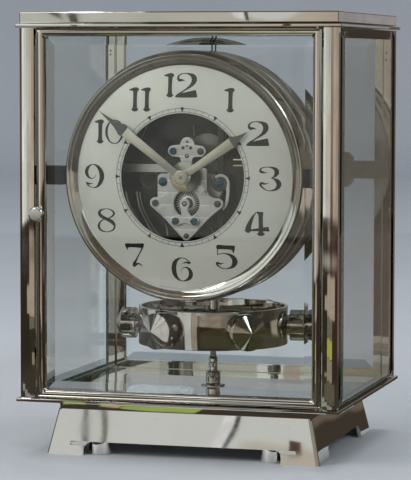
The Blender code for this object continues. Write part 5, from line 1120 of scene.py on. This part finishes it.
def make_door():
    """Make the door's half round moulding, its knob with the latch, and the rear frame's moulding."""
    section = [(0.0, 7.0), (0.0, 2.4)]
    for step in range(1, HALF_ROUND_STEPS):
        turn = math.pi * step / HALF_ROUND_STEPS
        section.append((0.5 - 0.5 * math.cos(turn), 2.3 - 2.2 * math.sin(turn)))
    section += [(1.0, 2.4), (1.0, 3.8), (0.86, 3.8), (0.86, 7.0)]
    door = moulded("door_moulding", FRAME_BOX, FRAME_WIDTHS, section, FRAME_RADII, NICKEL)
    ridden(door, "door", ("door_frame",))
    rear_section = [(share, CASE_DEPTH - depth) for share, depth in section]
    rear = moulded("rear_moulding", FRAME_BOX, FRAME_WIDTHS, rear_section, FRAME_RADII, NICKEL)
    ridden(rear, "case", ("rear_frame",))
    knob = lathed(
        "knob_part",
        [(0, -7.8), (3.8, -7.8, 0.2), (4.3, -7.4, 0.35), (4.35, -5.4, 0.6), (3.5, -4.2, 0.5),
         (2.2, -3.6, 0.4), (2.0, -1.2, 0.4), (2.6, -0.4, 0.3), (2.6, -0.1), (1.45, -0.1), (1.45, 10.2),
         (0, 10.2)],
        (KNOB_X, 0, KNOB_Z), NICKEL, 56, closed=False)
    latch = plated(
        "latch_part", [rounded([(-1.6, 1.6, 1.2), (1.6, 1.6, 1.2), (1.6, -6.0, 1.0), (-1.6, -6.0, 1.0)])],
        8.7, 10.1, NICKEL, (KNOB_X, KNOB_Z), 0.2)
    face = lathed(
        "knob_face_part", [(0, -8.0), (3.4, -8.0, 0.15), (3.65, -7.85), (3.65, -7.7), (0, -7.7)],
        (KNOB_X, 0, KNOB_Z), SATIN, 56, closed=False)
    ridden(merged("knob_turning", [knob, latch, face]), "knob", ("door_knob",))


FOOT_X, FOOT_DEPTHS = 50.5, (("front", 20.2), ("rear", 134.8))
THREAD_START, THREAD_END, THREAD_PITCH = 9.2, 20.5, 0.7
THREAD_CREST, THREAD_ROOT = 2.5, 2.2


def make_feet():
    """Make the levelling feet with their milled rims and threaded studs."""
    profile = [(0, 0.0), (6.2, 0.0, 0.3), (7.0, 0.8, 0.4), (7.0, 7.9, 0.4), (6.2, 8.8, 0.3),
               (THREAD_CREST, 8.8)]
    height = THREAD_START
    while height < THREAD_END:
        profile += [(THREAD_CREST, height), (THREAD_ROOT, height + THREAD_PITCH / 2)]
        height += THREAD_PITCH
    profile += [(THREAD_ROOT, 21.2), (0, 21.3)]
    for side, x in (("left", -FOOT_X), ("right", FOOT_X)):
        for end, depth in FOOT_DEPTHS:
            corner = "%s_%s" % (end, side)
            foot = lathed("foot_" + corner, profile, (x, depth, 0), NICKEL, 56, "Z", False)
            ridden(foot, "foot_" + corner, ("levelling_foot_" + corner,))


def make_drum():
    """Make the motor drum and its stepped rear cover as smooth turnings."""
    drum = lathed(
        "drum_turning",
        [(68.9, 46.0), (70.1, 46.0, 0.2), (70.5, 46.4, 0.2), (70.5, 48.6, 0.1), (70.15, 48.9, 0.1),
         (70.15, 49.3, 0.1), (70.5, 49.6, 0.1), (70.5, 60.2), (69.3, 60.2), (69.3, 47.6, 0.2),
         (8.0, 47.6, 0.2), (8.0, 46.6), (68.9, 46.6)],
        DIAL_BASE, DARK_NICKEL, 144)
    ridden(drum, "drum", ("motor_drum",))
    cover = lathed(
        "cover_turning",
        [(6.3, 60.55), (70.3, 60.55), (70.5, 60.8, 0.1), (70.5, 61.2, 0.15), (69.8, 61.5, 0.2),
         (62.5, 61.5, 0.3), (61.8, 61.1, 0.3), (52.0, 61.1, 0.3), (51.2, 61.6, 0.3), (44.0, 61.6, 0.3),
         (43.2, 61.15, 0.3), (28.0, 61.15, 0.3), (27.2, 61.65, 0.3), (20.0, 61.65, 0.3), (19.2, 61.2, 0.3),
         (9.4, 61.2, 0.3), (8.8, 61.7, 0.2), (6.3, 61.7)],
        DIAL_BASE, SATIN, 144)
    ridden(cover, "drum", ("drum_rear_cover",))


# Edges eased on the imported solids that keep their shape, by width, where sharper than an angle in degrees
EASE_ANGLE = 28
EASED_EDGES = {
    0.5: ("plinth", "cap"),
    0.45: ("post_front_left", "post_front_right", "post_rear_left", "post_rear_right"),
    0.35: ("bottom_plate", "top_plate", "rear_cross_bar"),
    0.3: ("rear_yoke", "front_bracket_left", "front_bracket_right"),
    0.25: ("suspension_hanger",),
    0.2: ("barrel_bridge", "mainspring_barrel"),
}


def ease_edges():
    """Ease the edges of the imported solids."""
    for width, names in EASED_EDGES.items():
        for name in names:
            ease = NODES[name].modifiers.new("eased", "BEVEL")
            ease.width = width * MM
            ease.segments = 2
            ease.limit_method = "ANGLE"
            ease.angle_limit = math.radians(EASE_ANGLE)


FAN_CENTRE = (9.4, 12.7)
INK = paint("numeral_ink_finish", (0.006, 0.008, 0.006), (0.014, 0.016, 0.013), 0.45, 900.0, 0.2)
HAND_SILVER = metal("hand_silver_finish", (0.45, 0.415, 0.35), (0.4, 0.37, 0.31), (0.45, 0.58),
                    (40.0, 0.1), (1400.0, 0.4))
HAND_DARK = paint("hand_dark_finish", (0.045, 0.046, 0.038), (0.065, 0.064, 0.054), 0.36, 900.0)
DARK_NICKEL = metal("dark_nickel_finish", (0.5, 0.48, 0.42), (0.42, 0.4, 0.34), (0.05, 0.14), (16.0, 0.3),
                    (900.0, 0.03))
WIRE = metal("wire_finish", (0.5, 0.49, 0.43), (0.4, 0.39, 0.34), (0.2, 0.3), (30.0, 0.1))
# Bright gold that paints glints in the opening.
GLINT_GOLD = metal("painted_glint_gold_finish", (0.95, 0.75, 0.5), (0.85, 0.66, 0.42), (0.3, 0.4), (30.0, 0.1))
# Steel, lightened past its own colour as painted glints, for the escape comb's teeth and the hour hub.
GLINT_STEEL = metal("steel_painted_glint_finish", (0.9, 0.9, 0.88), (0.84, 0.84, 0.82), (0.3, 0.45), (30.0, 0.1))
# Brass darkened as painted shade for the wheels deep inside the movement.
SHADE_DARKENED_BRASS = metal("shade_darkened_brass_finish", (0.16, 0.13, 0.09), (0.11, 0.09, 0.065), (0.2, 0.36), (30.0, 0.1))
# Near black nickel: painted shade for the back plate and the recess plate deep in the opening.
SHADED_BACK_PLATE = metal("painted_shade_back_plate_finish", (0.05, 0.05, 0.045), (0.03, 0.03, 0.027), (0.12, 0.3), (60.0, 0.12))
GLASS_EDGE = paint("glass_edge_finish", (0.012, 0.085, 0.066), (0.016, 0.12, 0.092), 0.3)
STRIPED_PAINTED_SHEEN = striped()
FAN = fanned("brushed_painted_fan_finish", DIAL_CENTRE, (0.48, 0.47, 0.43), (0.045, 0.043, 0.038))
FAN_DARK = fanned("dark_painted_fan_finish", (DIAL_X + FAN_CENTRE[0], DIAL_Z + FAN_CENTRE[1]), (0.2, 0.195, 0.17),
                  (0.014, 0.014, 0.012))
# Brass of the hour wheel, for the sector that paints its lit part.
LIT_SECTOR_BRASS = metal("lit_sector_brass_finish", (0.5, 0.42, 0.27), (0.42, 0.34, 0.2), (0.4, 0.55), (30.0, 0.1),
                  (1400.0, 0.4))
BLUED = metal("blued_screw_finish", (0.055, 0.1, 0.17), (0.06, 0.13, 0.16), (0.2, 0.32))
DARK_STEEL = metal("dark_steel_finish", (0.09, 0.09, 0.095), (0.13, 0.13, 0.13), (0.24, 0.38))
# The centre and third wheels take the brass darkened as painted shade.
for node_name in ("centre_wheel", "third_wheel"):
    NODES[node_name].data.materials[0] = SHADE_DARKENED_BRASS
NODES["minute_wheel"].data.materials[0] = GRAINED
# The back plate takes the near black nickel of painted shade.
NODES["movement_back_plate"].data.materials[0] = SHADED_BACK_PLATE
ease_edges()
make_dial_side()
make_numerals()
make_hands()
make_bridge()
make_bridge_screws()
make_pivots()
make_wheels()
make_recess()
make_small_screws()
make_pane_edges()
make_pendulum()
make_pillar()
make_door()
make_feet()
make_drum()

# Stage: the cove and room in millimetres, the lamps and cards in metres
STAGE_BASE = (0, -FRONT_Y / MM, 0)
COVE_RADIUS, COVE_BEND, COVE_HEIGHT = 3800.0, 500.0, 1100.0
COVE_MIDDLE = 500.0


def make_stage():
    """Make the pale floor that turns up into a wall all round."""
    finish = Finish("stage_finish")
    cloud = finish.ranged(finish.noise(3.0, 2.0))
    finish.feed("Base Color", finish.mixed(cloud, (0.55, 0.58, 0.62), (0.52, 0.55, 0.59)))
    finish.feed("Roughness", 0.6)
    profile = [(0, 0), (COVE_MIDDLE, 0)] + arc(COVE_RADIUS - COVE_BEND, COVE_BEND, COVE_BEND, -90, 0, 12)
    profile.append((COVE_RADIUS, COVE_HEIGHT))
    lathed("stage_cove", profile, STAGE_BASE, finish.material, 96, "Z", False)


def faced(thing, place, target, front):
    """Set a thing at its place and turn its front to a point."""
    thing.location = place
    thing.rotation_euler = (Vector(target) - Vector(place)).to_track_quat(front, "Y").to_euler()


def make_lamp(name, place, target, size, power, colour=(1, 1, 1)):
    """Make a soft rectangular lamp that faces a point."""
    data = bpy.data.lights.new(name, "AREA")
    data.shape = "RECTANGLE"
    data.size, data.size_y = size
    data.energy = power
    data.color = colour
    faced(link_object(name, data), place, target, "-Z")


def hide_but_reflections(thing):
    """Let only reflections see a thing."""
    thing.visible_camera = False
    thing.visible_shadow = False
    thing.visible_diffuse = False


def make_glowing(finish, colour, seen_from="both"):
    """Let a finish glow in reflections only, seen from inside the case, from outside it or both."""
    finish.feed("Emission Color", colour)
    finish.feed("Emission Strength", 1.0)
    finish.feed("Base Color", (0.0, 0.0, 0.0))
    finish.feed("Specular IOR Level", 0.0)
    path = finish.node("LightPath")
    seen = finish.maths("GREATER_THAN", path.outputs["Glossy Depth"], 0.5)
    if seen_from != "both":
        through = finish.maths("GREATER_THAN", path.outputs["Transmission Depth"], 0.5)
        if seen_from == "outside":
            through = finish.maths("SUBTRACT", 1.0, through)
        seen = finish.maths("MULTIPLY", seen, through)
    finish.show(seen, finish.node("BsdfTransparent").outputs[0], finish.shader.outputs[0])


def make_card(name, place, target, size, colour, seen_from):
    """Make a glowing card that shows only in reflections as a painted reflection, turned to its target or
    lying flat.
    """
    finish = Finish(name + "_finish")
    darker = tuple(share * 0.75 for share in colour)
    make_glowing(finish, finish.mixed(finish.ranged(finish.noise(30.0, 3.0)), colour, darker), seen_from)
    mesh = bpy.data.meshes.new(name)
    shape = bmesh.new()
    bmesh.ops.create_grid(shape, x_segments=1, y_segments=1, size=0.5)
    bmesh.ops.scale(shape, vec=(*size, 1), verts=shape.verts)
    shape.to_mesh(mesh)
    shape.free()
    mesh.materials.append(finish.material)
    card = link_object(name, mesh)
    if target is None:
        card.location = place
    else:
        faced(card, place, target, "Z")
    hide_but_reflections(card)


# Glowing room that only reflections see, painting reflections onto metal and glass: bearing from the front in
# degrees, and colour
ROOM_RADIUS, ROOM_HEIGHT = 1750.0, 2400.0
ROOM_NEAR, ROOM_LIFT = 125.0, 1.5
ROOM_FLOOR = (
    (-180, (0.2, 0.2, 0.2)), (-112, (0.26, 0.26, 0.27)), (-66, (0.1, 0.085, 0.07)),
    (-45, (0.03, 0.025, 0.018)), (-21, (0.03, 0.024, 0.017)), (-1, (0.05, 0.03, 0.024)),
    (60, (0.024, 0.015, 0.014)), (112, (0.04, 0.028, 0.02)), (116, (0.5, 0.42, 0.37)),
    (142, (0.4, 0.33, 0.28)), (146, (0.12, 0.095, 0.075)), (168, (0.16, 0.13, 0.105)), (180, (0.2, 0.2, 0.2)),
)
ROOM_BEARINGS = (
    (-180, (0.3, 0.31, 0.32)), (-128, (0.34, 0.35, 0.36)), (-124, (0.04, 0.03, 0.022)),
    (-104, (0.06, 0.045, 0.035)), (-101, (0.62, 0.66, 0.72)), (-84, (0.7, 0.73, 0.78)),
    (-81, (0.07, 0.05, 0.04)), (-60, (0.1, 0.08, 0.06)), (-57, (0.3, 0.28, 0.24)),
    (-40, (0.05, 0.035, 0.025)), (-37, (0.95, 0.95, 0.93)), (-29, (0.85, 0.84, 0.8)),
    (-26.5, (0.56, 0.58, 0.55)), (-18, (0.56, 0.57, 0.53)), (-10, (0.52, 0.47, 0.4)),
    (-7, (0.5, 0.42, 0.34)), (-5.5, (0.1, 0.05, 0.035)), (-4, (0.5, 0.43, 0.36)), (5, (0.52, 0.45, 0.38)),
    (9, (0.4, 0.34, 0.29)), (22, (0.4, 0.34, 0.29)), (25, (0.5, 0.38, 0.29)), (29, (0.32, 0.27, 0.23)),
    (47, (0.12, 0.09, 0.07)), (50, (0.42, 0.41, 0.37)), (62, (0.3, 0.28, 0.24)), (65, (0.05, 0.04, 0.03)),
    (99, (0.06, 0.045, 0.033)), (150, (0.11, 0.09, 0.07)), (172, (0.15, 0.125, 0.1)), (180, (0.3, 0.3, 0.3)),
)
ROOM_UPPER = (
    (-180, (0.34, 0.35, 0.36)), (-100, (0.42, 0.43, 0.44)), (-60, (0.6, 0.62, 0.62)),
    (-5, (0.62, 0.64, 0.63)), (10, (0.3, 0.28, 0.25)), (60, (0.34, 0.32, 0.29)), (100, (0.16, 0.13, 0.1)),
    (135, (0.09, 0.07, 0.055)), (170, (0.12, 0.095, 0.075)), (180, (0.3, 0.3, 0.3)),
)
# The near white stretches of the top band are glowing windows that paint highlights from the lamps'
# directions.
ROOM_TOP = (
    (-180, (0.14, 0.14, 0.14)), (-120, (0.16, 0.16, 0.16)), (-70, (0.07, 0.06, 0.048)),
    (-61, (0.06, 0.05, 0.04)), (-58, (1.0, 1.0, 0.98)), (-44, (1.0, 1.0, 0.98)), (-43, (0.1, 0.09, 0.08)),
    (-41.5, (0.1, 0.09, 0.08)), (-40.5, (1.0, 1.0, 0.98)), (-27, (1.0, 1.0, 0.98)),
    (-24, (0.09, 0.07, 0.05)), (-8, (0.05, 0.035, 0.025)), (10, (0.12, 0.08, 0.055)),
    (40, (0.05, 0.04, 0.03)), (44, (0.9, 0.93, 1.0)), (63, (0.9, 0.93, 1.0)), (67, (0.06, 0.045, 0.035)),
    (110, (0.05, 0.04, 0.03)), (150, (0.09, 0.075, 0.06)), (180, (0.14, 0.14, 0.14)),
)


def colour_by_bearing(finish, share, bearings):
    """Return the colour that a table gives at a bearing."""
    ramp = finish.node("ValToRGB", {0: share})
    stops = ramp.color_ramp.elements
    stops[0].color = (*bearings[0][1], 1.0)
    stops[1].color = (*bearings[-1][1], 1.0)
    for degrees, colour in bearings[1:-1]:
        stops.new(degrees / 360 + 0.5).color = (*colour, 1.0)
    return ramp.outputs[0]


def make_room():
    """Make the glowing room that only reflections see: painted reflections of windows, dark furniture and
    walls all round.
    """
    finish = Finish("stage_room_painted_reflection_finish")
    split = finish.node("SeparateXYZ", {0: finish.coords})
    height = split.outputs["Z"]
    bearing = finish.maths("ARCTAN2", split.outputs["X"], finish.maths("MULTIPLY", split.outputs["Y"], -1.0))
    share = finish.maths("ADD", finish.maths("DIVIDE", bearing, 2 * math.pi), 0.5)
    wobble = finish.maths("SUBTRACT", finish.noise(2.2, 3.0, 0.6), 0.5)
    share = finish.maths("ADD", share, finish.maths("MULTIPLY", wobble, 0.012))
    tables = (ROOM_FLOOR, ROOM_BEARINGS, ROOM_UPPER, ROOM_TOP)
    far_floor, lower_wall, upper_wall, top_wall = (
        colour_by_bearing(finish, share, table) for table in tables)
    reach = finish.node("VectorMath", {0: finish.coords}, operation="LENGTH").outputs["Value"]
    floor = finish.mixed(finish.ranged(reach, 0.0, 1.0, 0.4, 0.5), (0.05, 0.04, 0.03), far_floor)
    # Painted patches, lighter and darker, in the reflected lower wall.
    clutter = finish.noise(3.0, 4.0, 0.6, finish.stretched((1.0, 1.0, 2.4)))
    clutter = finish.ranged(clutter, 0.75, 1.15, 0.35, 0.65)
    dimmed = finish.node("VectorMath", {0: lower_wall, "Scale": clutter}, operation="SCALE").outputs[0]
    wall = finish.mixed(finish.ranged(height, 0.0, 1.0, 0.292, 0.3), dimmed, upper_wall)
    wavy = finish.maths("ADD", height, finish.maths("MULTIPLY", wobble, 0.2))
    wall = finish.mixed(finish.ranged(wavy, 0.0, 1.0, 0.56, 0.64), wall, top_wall)
    make_glowing(finish, finish.mixed(finish.ranged(height, 0.0, 1.0, 0.002, 0.006), floor, wall))
    profile = [(ROOM_NEAR, ROOM_LIFT), (ROOM_RADIUS, ROOM_LIFT), (ROOM_RADIUS, ROOM_HEIGHT)]
    room = lathed("stage_room", profile, STAGE_BASE, finish.material, 120, "Z", False)
    hide_but_reflections(room)


# Glowing cards that only reflections see, painting coloured reflections on the metal: place, size and colour.
# One without a height lies flat on the floor.
CARD_LIFT = 0.003
WALL_Y = -1.6
CARDS = (
    ((-0.1208, -0.238), (0.0165, 0.048), (0.36, 0.48, 0.12)),
    ((-0.1001, -0.238), (0.0058, 0.048), (0.5, 0.52, 0.2)),
    ((-0.0934, -0.238), (0.0076, 0.048), (0.6, 0.42, 0.28)),
    ((-0.065, -0.238), (0.0469, 0.048), (0.36, 0.48, 0.12)),
    ((-0.1, -0.275), (0.34, 0.022), (0.33, 0.32, 0.32)),
    ((0.015, -0.355), (0.17, 0.12), (0.13, 0.12, 0.085)),
    ((-0.01, -0.49), (0.18, 0.14), (0.3, 0.28, 0.19)),
    ((-0.09, -0.3, 0.0385), (0.07, 0.021), (0.04, 0.035, 0.025)),
    ((-0.07, -0.64), (0.18, 0.15), (0.42, 0.46, 0.09)),
    ((-0.085, -0.815), (0.27, 0.19), (0.17, 0.17, 0.125)),
    ((-0.1275, -1.27), (0.585, 0.72), (0.45, 0.38, 0.3)),
    ((-0.4045, WALL_Y, 0.3225), (0.024, 0.075), (0.86, 0.86, 0.9)),
    ((-0.3885, WALL_Y, 0.3225), (0.008, 0.075), (0.04, 0.04, 0.03)),
    ((-0.597, WALL_Y, 0.3225), (0.006, 0.075), (0.14, 0.14, 0.13)),
    ((-0.574, WALL_Y, 0.3225), (0.007, 0.075), (0.15, 0.15, 0.13)),
    ((-0.311, WALL_Y, 0.277), (0.016, 0.014), (0.08, 0.04, 0.025)),
    ((-0.309, WALL_Y, 0.185), (0.014, 0.13), (0.1, 0.035, 0.03)),
    ((-0.616, WALL_Y, 0.277), (0.012, 0.012), (0.04, 0.045, 0.035)),
    ((-0.59, WALL_Y, 0.276), (0.02, 0.01), (0.04, 0.045, 0.035)),
    ((-0.564, WALL_Y, 0.278), (0.01, 0.013), (0.04, 0.045, 0.035)),
    ((0.0, -0.17), (0.07, 0.05), (0.5, 0.5, 0.44)),
    ((0.42, 1.63, 0.276), (0.4, 0.03), (0.34, 0.33, 0.34)),
)
# Glowing cards seen only in reflections from inside the case, painting the white and beige highlights on the
# ring.
RING_CARDS = (
    ("stage_card_white", (-0.031, -0.105, 0.064), (0.017, 0.07), (0.95, 0.95, 0.94)),
    ("stage_card_beige", (-0.0145, -0.105, 0.064), (0.013, 0.07), (0.6, 0.5, 0.44)),
)
STAGE_MIDDLE = (0, 0, 0.13)
RING_SIDE = (-0.012, -0.02, 0.07)


def light_stage():
    """Light the clock softly from a window side and from above."""
    world = bpy.data.worlds.new("world")
    bpy.context.scene.world = world
    world.use_nodes = True
    background = world.node_tree.nodes["Background"]
    background.inputs["Color"].default_value = (0.82, 0.86, 0.91, 1.0)
    background.inputs["Strength"].default_value = 0.55
    make_lamp("window_lamp", (-1.3, -1.5, 1.3), STAGE_MIDDLE, (1.0, 1.4), 26.0, (1.0, 0.98, 0.95))
    make_lamp("fill_lamp", (1.5, -1.1, 0.9), STAGE_MIDDLE, (0.5, 1.3), 9.0, (0.93, 0.96, 1.0))
    make_lamp("top_lamp", (0.1, 0.2, 1.9), STAGE_MIDDLE, (1.2, 0.8), 12.0)
    # Cards that paint reflections: most show from outside the case, the ring's from inside it.
    for number, (place, size, colour) in enumerate(CARDS):
        name = "stage_card_%d" % number
        if len(place) == 2:
            make_card(name, (*place, CARD_LIFT), None, size, colour, "outside")
        else:
            make_card(name, place, STAGE_MIDDLE, size, colour, "outside")
    for name, place, size, colour in RING_CARDS:
        make_card(name, place, RING_SIDE, size, colour, "inside")


make_stage()
make_room()
light_stage()
bpy.context.scene.view_settings.view_transform = "Standard"
